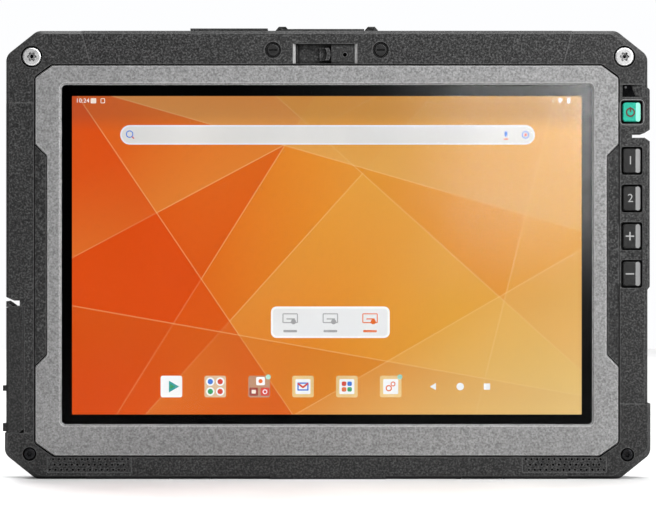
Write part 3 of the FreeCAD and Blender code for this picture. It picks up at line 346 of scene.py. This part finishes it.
# %% Lights
def softbox(name, location, size, power):
    """Area light at a place in metres, aimed at the tablet: its two sides in metres and its power in watts."""
    light = bpy.data.lights.new(name, "AREA")
    light.shape = "RECTANGLE"
    light.size, light.size_y = size
    light.energy = power
    obj = bpy.data.objects.new(name, light)
    obj.location = location
    towards = Vector((0, 0, 0.1)) - Vector(location)
    obj.rotation_euler = towards.to_track_quat("-Z", "Y").to_euler()
    bpy.context.scene.collection.objects.link(obj)
    return obj


room_lights = [
    softbox("key_light", (0.62, -0.50, 0.44), (0.40, 0.40), 5.4),
    softbox("brow_light", (0.06, -0.21, 0.43), (0.50, 0.12), 1.25),
    softbox("top_light", (0.2, 0.9, 2.2), (2.6, 1.4), 44),
    softbox("back_light", (-0.7, 1.1, 0.9), (0.8, 0.8), 14)]
card_lights = [
    softbox("wide_card", (0.50, -1.3, 0.49), (0.86, 0.80), 85),
    softbox("near_card", (0.57, -1.3, 0.57), (0.80, 0.80), 110)]

glass_only = bpy.data.collections.new("glass_only")
glass_only.objects.link(nodes["cover_glass"])
all_but_glass = bpy.data.collections.new("all_but_glass")
all_but_glass.objects.link(nodes["cover_glass"])
all_but_glass.collection_objects[0].light_linking.link_state = "EXCLUDE"
for light in card_lights:
    light.light_linking.receiver_collection = glass_only
for light in room_lights:
    light.light_linking.receiver_collection = all_but_glass


def studio_air():
    """World whose strength follows the direction: To Min and To Max are the strengths at each end of an axis."""
    world = bpy.data.worlds.new("studio_air")
    world.use_nodes = True
    tree = world.node_tree
    background = tree.nodes["Background"]
    background.inputs["Color"].default_value = (0.985, 0.99, 1.0, 1)
    direction = add_node(tree, "ShaderNodeTexCoord").outputs["Generated"]
    axes = add_node(tree, "ShaderNodeSeparateXYZ", inputs={0: direction}).outputs
    height = spread(tree, axes["Z"], 0.09, 0.6, 0.1, 0.7)
    black_card = spread(tree, axes["Y"], 0.1, 1.0, -0.95, -0.75)
    side = spread(tree, axes["X"], 0.5, 1.2, -0.8, 0.8)
    front = add_node(tree, "ShaderNodeMath", {"operation": "MULTIPLY"}, {0: side, 1: black_card}).outputs[0]
    air = add_node(tree, "ShaderNodeMath", {"operation": "MULTIPLY"}, {0: height, 1: front}).outputs[0]
    seen_directly = add_node(tree, "ShaderNodeLightPath").outputs["Is Camera Ray"]
    strength = add_node(tree, "ShaderNodeMix", inputs={"Factor": seen_directly, "A": air, "B": 1.0})
    tree.links.new(strength.outputs["Result"], background.inputs["Strength"])
    return world


bpy.context.scene.world = studio_air()


# %% [markdown]
# ## Moulded housing
# The housings are glass-filled polycarbonate with a spark-eroded texture: a fine leathery grain that scatters
# the light, so the face looks speckled from close by. Edges carry a painted highlight, and grooves and corners
# carry painted shade. The real grain is about 0.2 mm and is drawn at 0.8 mm, so that it shows from a metre away.

# %% Housing and bumper finish
def grained_plastic(name, dark, middle, light, edge, grain_mm, roughness, depth_mm):
    made, tree, shader = start_material(name, IOR=1.5, Specular_IOR_Level=0.3)
    fine = grain(tree, grain_mm, detail=2.0, roughness=0.6)
    broad = grain(tree, 24.0, detail=1.0)
    colour = ramp(tree, fine, [(0.34, dark), (0.5, middle), (0.66, light)])
    colour = blend(tree, "MULTIPLY", 0.3, colour, ramp(tree, broad, [(0.35, "#C4C4C4"), (0.65, "#FFFFFF")]))
    # The ambient-occlusion mask drives both the painted shade in grooves and where the painted edge highlight shows.
    open_air = painted_crevice_shade(tree, 1.6)
    rim = add_node(tree, "ShaderNodeMath", {"operation": "MULTIPLY"},
                   {0: edge_highlight_mask(tree, 0.7), 1: spread(tree, open_air, 0.0, 0.6, 0.84, 0.98)})
    colour = blend(tree, "MIX", rim.outputs[0], colour, linear(edge))
    # Painted shade: grooves and corners darker, where shade falls.
    shade = ramp(tree, open_air, [(0.5, "#141414"), (0.95, "#FFFFFF")])
    colour = blend(tree, "MULTIPLY", 1.0, colour, shade)
    tree.links.new(colour, shader.inputs["Base Color"])
    tree.links.new(spread(tree, fine, roughness - 0.08, roughness + 0.1), shader.inputs["Roughness"])
    bump(tree, shader, fine, depth_mm, 0.6)
    return made


# The fourth colour of each is the painted highlight along edges.
housing_plastic = grained_plastic("spark_textured_polycarbonate", "#121212", "#272727", "#4A4A4A", "#606060",
                                  0.8, 0.52, 0.1)
bumper_rubber = grained_plastic("moulded_bumper_elastomer", "#111111", "#252525", "#484848", "#5E5E5E",
                                0.8, 0.58, 0.1)
door_plastic = grained_plastic("textured_door_elastomer", "#141414", "#252525", "#3E3E3E", "#525252",
                               0.8, 0.56, 0.08)
finish_on(["front_housing", "rear_housing", "display_frame", "grille_left", "grille_right", "camera_cover"],
          housing_plastic)
finish_on([n for n in nodes if n.startswith(("bumper_top", "bumper_bottom"))], bumper_rubber)
finish_on(["port_door", "card_door", "battery_pack"], door_plastic)
print("textured plastic on", sum(1 for o in nodes.values() if o.data.materials[:1] == [housing_plastic]), "nodes")


# %% [markdown]
# ## Bezel
# The bezel is a cast magnesium frame under a silver-grey paint with metal flake in it. Flakes lie at random, so
# the surface sparkles in a fine salt-and-pepper pattern, and its cut edges carry a painted highlight. The flakes are
# drawn at three quarters of a millimetre, coarser than the real ones, so that the sparkle shows.

# %% Bezel finish
def flake_paint(name, dark, light, edge, roughness):
    made, tree, shader = start_material(name, Metallic=0.4, Coat_Weight=0.05, Coat_Roughness=0.35)
    flake = grain(tree, 0.75, detail=2.0, roughness=0.6)
    broad = grain(tree, 40.0, detail=1.0)
    colour = ramp(tree, flake, [(0.3, dark), (0.7, light)])
    colour = blend(tree, "MULTIPLY", 0.25, colour, ramp(tree, broad, [(0.35, "#D4D4D4"), (0.65, "#FFFFFF")]))
    # Painted highlight along the cut edges.
    colour = blend(tree, "MIX", edge_highlight_mask(tree, 0.5), colour, linear(edge))
    tree.links.new(colour, shader.inputs["Base Color"])
    tree.links.new(spread(tree, flake, roughness - 0.06, roughness + 0.08), shader.inputs["Roughness"])
    bump(tree, shader, flake, 0.03, 0.5)
    return made


# The third colour is the painted edge highlight.
bezel_paint = flake_paint("silver_flake_paint", "#6C6C6C", "#A4A4A4", "#E4E4E4", 0.5)
finish_on(["front_bezel"], bezel_paint)
print("bezel painted as", bezel_paint.name)

# %% [markdown]
# ## Small plain finishes
# The remaining pieces are metals, gloss plastics and rubbers. Each still has a little unevenness: a faint
# mottling in its colour and a matching change in gloss, as moulded or rolled surfaces do. Where a shade reach is
# given, grooves and recesses also carry painted shade.

# %% Small finishes
def mottled(name, dark, light, size_mm, roughness, depth_mm=0.01, painted_shade_mm=0.0, **constants):
    made, tree, shader = start_material(name, **constants)
    patch = grain(tree, size_mm, detail=3.0)
    colour = ramp(tree, patch, [(0.32, dark), (0.68, light)])
    # Painted shade: darker in grooves and recesses, within the given reach.
    if painted_shade_mm:
        colour = blend(tree, "MULTIPLY", 1.0, colour,
                       ramp(tree, painted_crevice_shade(tree, painted_shade_mm), [(0.3, "#101010"), (0.85, "#FFFFFF")]))
    tree.links.new(colour, shader.inputs["Base Color"])
    tree.links.new(spread(tree, patch, roughness - 0.05, roughness + 0.07), shader.inputs["Roughness"])
    bump(tree, shader, patch, depth_mm, 0.4)
    return made


# The seventh value, where given, is the reach of painted shade in recesses: on the screws, plugs, latches and brass
# inserts.
bright_steel = mottled("plated_steel", "#CFCFCF", "#E8E8E8", 8.0, 0.42, 0.001, 0.9, Metallic=0.8)
dark_steel = mottled("black_oxide_steel", "#1C1C1E", "#303032", 0.6, 0.38, 0.01, 1.0, Metallic=0.9)
brushed_steel = mottled("stamped_steel", "#A8A8AA", "#C9C9CB", 1.5, 0.3, Metallic=1.0)
gloss_black = mottled("gloss_black_plastic", "#050506", "#0B0B0C", 3.0, 0.12, 0.002, IOR=1.5)
matte_rubber = mottled("silicone_rubber", "#060607", "#0E0E10", 1.2, 0.62, IOR=1.43)
plug_rubber = mottled("plug_rubber", "#101010", "#171717", 1.2, 0.5, 0.01, 1.2, IOR=1.43)
black_ink = mottled("back_printed_ink", "#020202", "#040404", 5.0, 0.35, 0.001, IOR=1.1)
foam = mottled("black_foam", "#101010", "#1C1C1C", 0.5, 0.85, 0.05)
mesh_cloth = mottled("speaker_cloth", "#060606", "#101010", 0.4, 0.9, 0.05)
circuit_green = mottled("solder_mask", "#0E4A2C", "#146239", 2.5, 0.3, 0.01, IOR=1.5)
copper = mottled("rolled_copper", "#B06A42", "#D08C60", 2.0, 0.3, Metallic=1.0)
gold = mottled("gold_plating", "#D8A850", "#F0C878", 0.8, 0.22, Metallic=1.0)
brass = mottled("turned_brass", "#B08D45", "#D4B168", 0.5, 0.28, 0.01, 1.5, Metallic=1.0)
white_foil = mottled("white_reflector_foil", "#D8D8D8", "#F0F0F0", 4.0, 0.5)
clear_pipe = mottled("frosted_light_pipe", "#3A3A3C", "#505052", 0.4, 0.3, IOR=1.49)
lamp_lens = mottled("frosted_lamp_lens", "#D8D2B8", "#F2ECD2", 0.6, 0.3, IOR=1.49)
latch_plastic = mottled("glass_filled_nylon", "#4A4A4C", "#5E5E60", 0.6, 0.45, 0.02, 1.0, IOR=1.52)
legend_print = mottled("light_grey_legend_print", "#8A8A8A", "#9E9E9E", 0.8, 0.5, 0.002)
power_print = mottled("umber_legend_print", "#4A1C16", "#5A2A22", 0.8, 0.5, 0.002)
# Painted highlight for the sloped ends of the camera slot.
slot_end_highlight_finish = mottled("painted_highlight_on_slot_ends", "#8C8C8C", "#A8A8A8", 1.0, 0.4, 0.005)
# Painted highlight for the power key's collar edge.
collar_highlight_finish = mottled("painted_highlight_on_collar", "#686868", "#7C7C7C", 0.8, 0.5, 0.002)

finish_on(["bumper_screws_top"], bright_steel)
finish_on(["bumper_screws_bottom", "rear_screws"], dark_steel)
finish_on(["door_pins", "shield_cans", "card_slots", "usb_a_port", "usb_c_port", "dock_locators"], brushed_steel)
finish_on(["front_camera", "sensor_window", "speaker_left", "speaker_right", "audio_jack", "dc_jack",
           "battery_contacts", "dock_connector", "rear_camera"], gloss_black)
finish_on(["port_door_seal", "card_door_seal", "keypad_seal"], matte_rubber)
finish_on(["screw_plugs"], plug_rubber)
finish_on(["black_border"], black_ink)
finish_on(["display_gasket"], foam)
finish_on(["speaker_mesh"], mesh_cloth)
finish_on(["button_board", "io_board", "mainboard"], circuit_green)
finish_on(["heat_spreader", "antennas"], copper)
finish_on(["dock_contacts"], gold)
finish_on(["strap_inserts"], brass)
finish_on(["backlight"], white_foil)
finish_on(["light_pipe"], clear_pipe)
finish_on(["flash_lamp"], lamp_lens)
finish_on(["battery_latch_left", "battery_latch_right"], latch_plastic)
print("finishes so far", len(bpy.data.materials))

# %% [markdown]
# The table top under the tablet is a white melamine laminate: nearly even, with a soft gloss.

# %% Table finish
table_laminate = mottled("white_melamine_laminate", "#E4E4E4", "#EAEAEA", 60.0, 0.55, 0.001)
floor.data.materials.append(table_laminate)

# %% [markdown]
# ## Keys
# Each key is a satin silicone cap whose right flank slopes away, and that flank carries a painted highlight,
# a grey bar where light from the right catches it. The flank is found by its own direction: its normal leans to +X
# while it still faces the front.

# %% Key finish
flank_lean = math.radians(18)


def flanked_key(name, dark, light, flank):
    made, tree, shader = start_material(name, IOR=1.45)
    patch = grain(tree, 0.7, detail=3.0)
    colour = ramp(tree, patch, [(0.32, dark), (0.68, light)])
    # Painted highlight: the flank whose normal leans to +X, toward the light from the right, is lighter.
    facing = add_node(tree, "ShaderNodeSeparateXYZ", inputs={
        0: add_node(tree, "ShaderNodeNewGeometry").outputs["Normal"]})
    leans = add_node(tree, "ShaderNodeMath", {"operation": "COMPARE"},
                     {0: facing.outputs["X"], 1: math.sin(flank_lean), 2: 0.06})
    fronts = add_node(tree, "ShaderNodeMath", {"operation": "COMPARE"},
                      {0: facing.outputs["Y"], 1: -math.cos(flank_lean), 2: 0.03})
    flank_highlight_mask = add_node(tree, "ShaderNodeMath", {"operation": "MULTIPLY"}, {0: leans.outputs[0], 1: fronts.outputs[0]})
    colour = blend(tree, "MIX", flank_highlight_mask.outputs[0], colour, linear(flank))
    tree.links.new(colour, shader.inputs["Base Color"])
    tree.links.new(spread(tree, patch, 0.4, 0.52), shader.inputs["Roughness"])
    bump(tree, shader, patch, 0.02, 0.4)
    return made


# The last colour of each key is the painted highlight on its flank.
key_rubber = flanked_key("key_rubber", "#141414", "#1F1F1F", "#7A7A7A")
green_rubber = flanked_key("power_key_rubber", "#12907A", "#1AA28A", "#7CC8B2")
finish_on(["key_one", "key_two", "key_plus", "key_minus"], key_rubber)
finish_on(["camera_shutter"], housing_plastic)
finish_on(["power_key"], green_rubber)
print("keys in", key_rubber.name, "and", green_rubber.name)


# %% [markdown]
# ## Cover glass
# The cover is 1.2 mm aluminosilicate glass with an anti-reflection coat, which lets the mirror image of the
# room drop to well under a hundredth. That is set as a low index, and a light etch softens what is left of it.

# %% Glass finish
def coated_glass(name, tint, index, roughness):
    made, tree, shader = start_material(name, IOR=index, Transmission_Weight=1.0)
    smear = grain(tree, 35.0, detail=2.0)
    tree.links.new(ramp(tree, smear, [(0.3, tint), (0.7, "#FFFFFF")]), shader.inputs["Base Color"])
    tree.links.new(spread(tree, smear, roughness, roughness + 0.03), shader.inputs["Roughness"])
    return made


finish_on(["cover_glass"], coated_glass("coated_cover_glass", "#FBFDFF", 1.12, 0.11))
finish_on(["rear_camera_window"], coated_glass("tinted_lens_window", "#3A4048", 1.5, 0.0))


# %% [markdown]
# ## The lit picture
# The wallpaper is a gradient from deep orange to pale amber, crossed by straight facets that each lift or
# lower it, with a fine bright line along each edge. A facet is a half-plane: a dot product with a direction,
# and a step. The panel glows, so the picture goes to the shader's emission.

# %% Picture
line_half_width = 0.22 * MM
line_strength = 0.35
scrim_low, scrim_high = 15 * MM, 8 * MM


def facet_picture():
    made, tree, shader = start_material("lit_facet_picture", Roughness=0.5, Specular_IOR_Level=0.0,
                                        Emission_Strength=1.0)
    place = add_node(tree, "ShaderNodeTexCoord").outputs["Object"]
    centre = Vector(((screen_left + screen_right) / 2, 0, (screen_bottom + screen_top) / 2))
    local = add_node(tree, "ShaderNodeVectorMath", {"operation": "SUBTRACT"}, {0: place, 1: centre}).outputs[0]

    def along(degrees):
        direction = (math.cos(math.radians(degrees)), 0, math.sin(math.radians(degrees)))
        return add_node(tree, "ShaderNodeVectorMath", {"operation": "DOT_PRODUCT"},
                        {0: local, 1: direction}).outputs["Value"]

    colour = ramp(tree, spread(tree, along(8), 0.0, 1.0, -0.112, 0.112),
                  [(0.0, "#DC4E14"), (0.14, "#DE5818"), (0.32, "#E17422"), (0.5, "#E38A2A"), (0.72, "#E2A03A"),
                   (1.0, "#DFA238")])
    # Each facet: direction, distance from the middle in metres, tint, how much of it at the facet's edge and far
    # from the edge, and over how many metres it changes.
    facets = [(148, 0.040, "#D84810", 0.6, 0.15, 0.05), (118, 0.050, "#E29440", 0.5, 0.15, 0.03),
              (-42, -0.012, "#E6B050", 0.3, 0.1, 0.03), (48, 0.036, "#DE8C22", 0.7, 0.2, 0.04),
              (74, 0.040, "#DDAE62", 0.5, 0.12, 0.04), (214, 0.050, "#DA4410", 0.6, 0.2, 0.05),
              (-14, 0.078, "#E2A848", 0.4, 0.1, 0.03), (-100, 0.040, "#C8601C", 0.3, 0.1, 0.03),
              (-60, 0.052, "#E8CC8A", 0.12, 0.75, 0.06)]
    for degrees, offset, tint, near, far, fade in facets:
        value = along(degrees)
        inside = spread(tree, value, near, far, offset, offset + fade)
        gate = add_node(tree, "ShaderNodeMath", {"operation": "GREATER_THAN"}, {0: value, 1: offset}).outputs[0]
        amount = add_node(tree, "ShaderNodeMath", {"operation": "MULTIPLY"}, {0: inside, 1: gate}).outputs[0]
        colour = blend(tree, "MIX", amount, colour, linear(tint))
        line = add_node(tree, "ShaderNodeMath", {"operation": "COMPARE"}, {0: value, 1: offset, 2: line_half_width})
        soft = add_node(tree, "ShaderNodeMath", {"operation": "MULTIPLY"}, {0: line.outputs[0], 1: line_strength})
        colour = blend(tree, "MIX", soft.outputs[0], colour, linear("#F6CC8C"))
    up = add_node(tree, "ShaderNodeSeparateXYZ", inputs={0: local}).outputs["Z"]
    half = (screen_top - screen_bottom) / 2
    scrim = spread(tree, up, 0.0, 0.3, half - scrim_low, half - scrim_high)
    colour = blend(tree, "MIX", scrim, colour, linear("#5A4A3A"))
    tree.links.new(colour, shader.inputs["Emission Color"])
    shader.inputs["Base Color"].default_value = (0.0, 0.0, 0.0, 1)
    return made


finish_on(["lcd_panel"], facet_picture())
print("picture on the panel")


# %% [markdown]
# ## Symbols on the screen
# A search field, a small settings panel, a row of icons and three navigation marks lie over the wallpaper.
# They are separate thin tiles between the panel and the glass. All are plain generic shapes.

# %% Lit colours
def lit(name, colour):
    """A glowing colour with the faint unevenness of a backlight."""
    made, tree, shader = start_material(name, Roughness=0.5, IOR=1.1, Emission_Strength=1.0)
    patch = grain(tree, 30.0, detail=1.0)
    even = ramp(tree, patch, [(0.3, "#F4F4F4"), (0.7, "#FFFFFF")])
    tree.links.new(blend(tree, "MULTIPLY", 1.0, linear(colour), even), shader.inputs["Emission Color"])
    shader.inputs["Base Color"].default_value = (0.01, 0.01, 0.01, 1)
    return made


palette = {"field": "#D9D7D4", "field_rim": "#E4E6EE", "white": "#F6F6F6", "panel": "#E6E6E6", "grey": "#9C9C9C",
           "cream": "#EBC683", "folder": "#DDBB94", "brown": "#B98866", "red": "#D6402C", "maroon": "#963222",
           "blue": "#3C78D8", "green": "#2E9E5C", "teal": "#1C9C9A", "orange": "#E2661E", "mint": "#9ED0BC",
           "pale": "#F2E2D2"}
lights = {key: lit("lit_" + key, colour) for key, colour in palette.items()}


def symbol(obj, name, colour):
    return hand_over(obj, name, "tablet", lights[colour])


deep, low_tile, mid_tile, top_tile = 1.95, 1.92, 1.88, 1.84
sheet = 0.03

# %% [markdown]
# The search field is a rounded bar with its ends fully round, and the status marks lie along the top edge.

# %% Search field and status marks
symbol(plate(0.3, 146.5, 176.6, 8.3, 4.1, deep, sheet), "search_field_rim", "field_rim")
symbol(plate(0.3, 146.5, 175.2, 7.1, 3.5, low_tile, sheet), "search_field", "field")
symbol(hollow(disc(-84.0, 146.8, 1.6, mid_tile, sheet), 0.45), "search_mark_ring", "blue")
symbol(plate(-82.6, 145.4, 1.5, 0.5, 0, mid_tile, sheet, 45), "search_mark_handle", "red")
symbol(plate(76.3, 146.9, 1.2, 2.4, 0.58, mid_tile, sheet), "voice_mark", "blue")
symbol(plate(76.3, 144.7, 2.0, 0.5, 0.2, mid_tile, sheet), "voice_mark_foot", "orange")
symbol(hollow(disc(84.6, 146.5, 1.6, mid_tile, sheet), 0.4), "lens_mark_ring", "blue")
symbol(disc(84.6, 146.5, 0.6, mid_tile, sheet), "lens_mark_dot", "red")
symbol(digits("10:24", -104.0, 161.0, 1.9, mid_tile, sheet), "clock_digits", "white")
symbol(plate(-99.4, 161.0, 2.4, 2.2, 0.3, mid_tile, sheet), "status_mark_one", "pale")
symbol(hollow(plate(-95.4, 161.0, 1.9, 2.1, 0.4, mid_tile, sheet), 0.3), "status_mark_two", "pale")
symbol(disc(99.4, 161.2, 1.4, mid_tile, sheet, 3, 180), "signal_mark", "white")
symbol(plate(103.0, 161.0, 1.3, 2.3, 0.3, mid_tile, sheet), "charge_mark", "white")
symbol(plate(96.2, 161.0, 0.5, 1.6, 0, mid_tile, sheet), "status_mark_three", "pale")

# %% [markdown]
# The settings panel is a white rim round a paler field, with three modes in it. Each mode has a slate outline, a
# line, a touch dot and a bar in place of a caption.

# %% Settings panel
symbol(plate(1.5, 66.7, 50.6, 13.4, 2.4, deep, sheet), "mode_panel_rim", "white")
symbol(plate(1.5, 66.7, 48.8, 11.6, 1.6, low_tile, sheet), "mode_panel", "panel")
for number, (middle, colour) in enumerate(((-15.6, "grey"), (1.5, "grey"), (18.4, "orange")), 1):
    symbol(hollow(plate(middle, 68.4, 6.6, 4.2, 0.5, mid_tile, sheet), 0.45), f"mode_{number}_slate", colour)
    symbol(plate(middle + 0.2, 68.1, 3.6, 0.5, 0.1, mid_tile, sheet), f"mode_{number}_line", colour)
    symbol(disc(middle + 1.4, 66.9, 1.1, mid_tile, sheet, 20), f"mode_{number}_touch", colour)
    symbol(plate(middle, 62.9, 5.8, 1.0, 0.3, mid_tile, sheet), f"mode_{number}_caption_bar", colour)

# %% [markdown]
# The dock icons stand on one line at an even spacing. Their tiles are alike, so one tile is modelled and the
# rest are copies of it with meshes of their own.

# %% Dock icons
dock_z = 39.3
dock_spots = [-66.2 + 18.68 * n for n in range(6)]
tile_side = 9.2
first_tile = plate(dock_spots[0], dock_z, tile_side, tile_side, 0.9, deep, sheet)


def copy_along(obj, across, up=0.0):
    """Copy with its own mesh, moved in the plane of the screen by mm."""
    twin = obj.copy()
    twin.data = obj.data.copy()
    bpy.context.scene.collection.objects.link(twin)
    twin.location = (across * MM, 0, up * MM)
    return settle(twin)


tiles = [first_tile] + [copy_along(first_tile, spot - dock_spots[0]) for spot in dock_spots[1:]]
for number, (tile, colour) in enumerate(zip(tiles, ("white", "folder", "brown", "cream", "cream", "cream")), 1):
    symbol(tile, f"dock_tile_{number}", colour)
for number in (4, 5, 6):
    symbol(plate(dock_spots[number - 1], dock_z, 6.4, 6.4, 0.5, low_tile, sheet), f"dock_card_{number}", "white")

symbol(disc(dock_spots[0] + 0.4, dock_z, 2.9, mid_tile, sheet, 3, 90), "store_mark", "teal")
symbol(disc(dock_spots[0] + 0.1, dock_z, 1.3, top_tile, sheet, 3, 90), "store_mark_core", "green")
for number, (across, up, colour) in enumerate(((-2.1, 2.1, "blue"), (2.1, 2.1, "red"), (-2.1, -2.1, "green"),
                                               (2.1, -2.1, "red")), 1):
    symbol(disc(dock_spots[1] + across, dock_z + up, 1.8, low_tile, sheet, 20), f"folder_dot_{number}", "white")
    symbol(disc(dock_spots[1] + across, dock_z + up, 1.15, mid_tile, sheet, 20), f"folder_core_{number}", colour)
for number, (across, up, colour) in enumerate(((0.6, 2.3, "white"), (-2.3, -2.2, "maroon"), (2.5, -2.2, "red")), 1):
    symbol(plate(dock_spots[2] + across, dock_z + up, 3.7, 3.5, 0.5, low_tile, sheet), f"tool_tile_{number}", colour)
symbol(disc(dock_spots[2] + 0.6, dock_z + 2.3, 0.9, mid_tile, sheet, 20), "tool_mark_dot", "orange")
symbol(plate(dock_spots[2] - 2.3, dock_z - 2.2, 1.8, 1.6, 0.2, mid_tile, sheet), "tool_mark_page", "pale")
symbol(hollow(disc(dock_spots[2] + 2.5, dock_z - 2.2, 1.0, mid_tile, sheet, 20), 0.35), "tool_mark_ring", "white")
symbol(hollow(plate(dock_spots[3], dock_z, 4.8, 3.5, 0.3, mid_tile, sheet), 0.6), "letter_mark_frame", "blue")
for side in (-1, 1):
    symbol(plate(dock_spots[3] + side * 1.05, dock_z + 0.5, 2.9, 0.75, 0, top_tile, sheet, side * -38),
           f"letter_mark_flap_{'left' if side < 0 else 'right'}", "red")
for number, (across, up, colour) in enumerate(((-1.2, 1.2, "red"), (1.2, 1.2, "blue"), (1.2, -1.2, "green"),
                                               (-1.2, -1.2, "orange")), 1):
    symbol(plate(dock_spots[4] + across, dock_z + up, 1.9, 1.9, 0.6, mid_tile, sheet), f"gallery_mark_{number}",
           colour)
symbol(hollow(disc(dock_spots[5] - 0.8, dock_z - 0.7, 1.35, mid_tile, sheet), 0.5), "link_ring_large", "orange")
symbol(hollow(disc(dock_spots[5] + 1.0, dock_z + 1.1, 1.05, mid_tile, sheet), 0.42), "link_ring_small", "orange")
for number in (3, 6):
    symbol(disc(dock_spots[number - 1] + 3.9, dock_z + 4.1, 1.1, top_tile, sheet, 20), f"notice_dot_{number}", "mint")

# %% [markdown]
# Back, home and recent are a triangle, a disc and a square, to the right of the dock.

# %% Navigation marks
symbol(disc(45.6, dock_z, 1.75, mid_tile, sheet, 3, -90), "back_mark", "white")
symbol(disc(56.8, dock_z, 1.6, mid_tile, sheet), "home_mark", "white")
symbol(plate(68.2, dock_z, 2.7, 2.7, 0.3, mid_tile, sheet), "recent_mark", "white")

# %% [markdown]
# ## Key legends
# The numbers and signs are pad-printed in light grey on the flat of each cap, left of its sloping flank. Each
# one is a skin 0.04 mm thick that stands on the cap and rides with it.

# %% Legends
legend_thick = 0.04
for key, mark in (("key_one", "1"), ("key_two", "2")):
    low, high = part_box(key)
    cap_z = (low.z + high.z) / 2 / MM
    cap_depth = (low.y - front_y) / MM
    legend = digits(mark, low.x / MM + 3.1, cap_z, 3.6, cap_depth - legend_thick, legend_thick + 0.01)
    hand_over(legend, "legend_" + key, key, legend_print)

for key in ("key_plus", "key_minus"):
    low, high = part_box(key)
    cap_z = (low.z + high.z) / 2 / MM
    cap_depth = (low.y - front_y) / MM - legend_thick
    cap_x = low.x / MM + 2.9
    bar = plate(cap_x, cap_z, 3.6, 0.6, 0.08, cap_depth, legend_thick + 0.01)
    hand_over(bar, "legend_bar_" + key, key, legend_print)
    if key == "key_plus":
        post = plate(cap_x, cap_z, 0.6, 3.6, 0.08, cap_depth - 0.01, legend_thick + 0.02)
        hand_over(post, "legend_post_" + key, key, legend_print)

low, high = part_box("power_key")
power_x = low.x / MM + 3.2
power_z = (low.z + high.z) / 2 / MM
power_depth = (low.y - front_y) / MM - legend_thick
hand_over(hollow(disc(power_x, power_z - 0.1, 2.0, power_depth, legend_thick + 0.01), 0.65), "legend_power_ring",
          "power_key", power_print)
hand_over(plate(power_x, power_z + 1.1, 0.65, 2.1, 0.1, power_depth - 0.01, legend_thick + 0.02), "legend_power_bar",
          "power_key", power_print)
print("power key centre in mm", round(power_x, 1), round(power_z, 1))

# %% [markdown]
# ## Painted shade in the screw recesses and a painted highlight on the power key's collar
# Each bright corner screw has a six-lobed driver recess, and its shade is painted as a small black star in front of
# it. The star is made from a twelve-sided disc by drawing every second corner in. A thin light line runs round the
# power key's collar as a painted highlight along its raised edge.

# %% Screw stars and collar line
screw_low, screw_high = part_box("bumper_screws_top")
screw_z = (screw_low.z + screw_high.z) / 2 / MM
head_radius = (screw_high.z - screw_low.z) / 2 / MM
star_depth = (screw_low.y - front_y) / MM - 0.02


def painted_recess_star(x):
    obj = disc(x, screw_z, 1.25, star_depth, 0.1, 12)
    for corner in obj.data.vertices:
        turn = math.atan2(corner.co.z - screw_z * MM, corner.co.x - x * MM)
        corner.select = round(turn / math.radians(30)) % 2 == 0
    middle = (x * MM, front_y + star_depth * MM, screw_z * MM)
    bpy.ops.object.mode_set(mode="EDIT")
    bpy.ops.mesh.select_mode(type="VERT")
    bpy.ops.transform.resize(value=(0.62, 1.0, 0.62), center_override=middle)
    bpy.ops.object.mode_set(mode="OBJECT")
    return obj


for side, x in (("left", screw_low.x / MM + head_radius), ("right", screw_high.x / MM - head_radius)):
    # Each star is a black sheet of painted shade over a driver recess.
    hand_over(painted_recess_star(x), "screw_recess_shade_" + side, "tablet", gloss_black)

key_low, key_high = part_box("power_key")
collar_x = (key_low.x + key_high.x) / 2 / MM
# Painted highlight: a light line along the collar's raised edge.
collar = hollow(plate(collar_x + 0.05, power_z - 0.05, 10.6, 11.2, 2.2, -0.03, 0.06), 0.3)
hand_over(collar, "power_key_painted_collar_highlight", "tablet", collar_highlight_finish)
print("screw stars at z", round(screw_z, 1), "mm, head radius", round(head_radius, 1), "mm")

# %% [markdown]
# ## Painted highlights on the ends of the camera slot
# The shutter's slot ends in a slope at each side, and each slope carries a painted highlight. Each bright end
# is a skin that lies on the slope: a flat primitive leaned to it about the upright axis, then thickened.

# %% Slot ends
def leaning_skin(name, x, depth, long, lean):
    """Skin on a slope whose middle is at x and a depth. All in mm, the lean in degrees."""
    lift = 0.05
    bpy.ops.object.select_all(action="DESELECT")
    bpy.ops.mesh.primitive_plane_add(
        size=1, rotation=(upright, 0, math.radians(lean)),
        location=((x + lift * math.sin(math.radians(lean))) * MM,
                  front_y + (depth - lift * math.cos(math.radians(lean))) * MM,
                  (cover_low.z + cover_high.z) / 2))
    obj = bpy.context.object
    obj.scale = (long * MM, cover_high.z - cover_low.z - 0.2 * MM, 1)
    # Each skin is a painted highlight on a slope.
    hand_over(thicken(settle(obj), 0.03), name, "tablet", slot_end_highlight_finish)


cover_low, cover_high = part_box("camera_cover")
cover_right = cover_high.x / MM
leaning_skin("camera_slot_end_left", cover_right - 26.45, 1.5, 3.5, 55)
leaning_skin("camera_slot_end_right", cover_right - 0.55, 0.5, 1.3, -36)
print("slot ends at x", round(cover_right - 26.45, 1), round(cover_right - 0.55, 1), "mm")

# %% [markdown]
# ## Hand over
# The nodes still without a finish are listed, and the box of everything visible is taken once more.

# %% Hand over
print("nodes without a finish", [n for n, o in nodes.items() if not o.data.materials])
low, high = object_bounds()
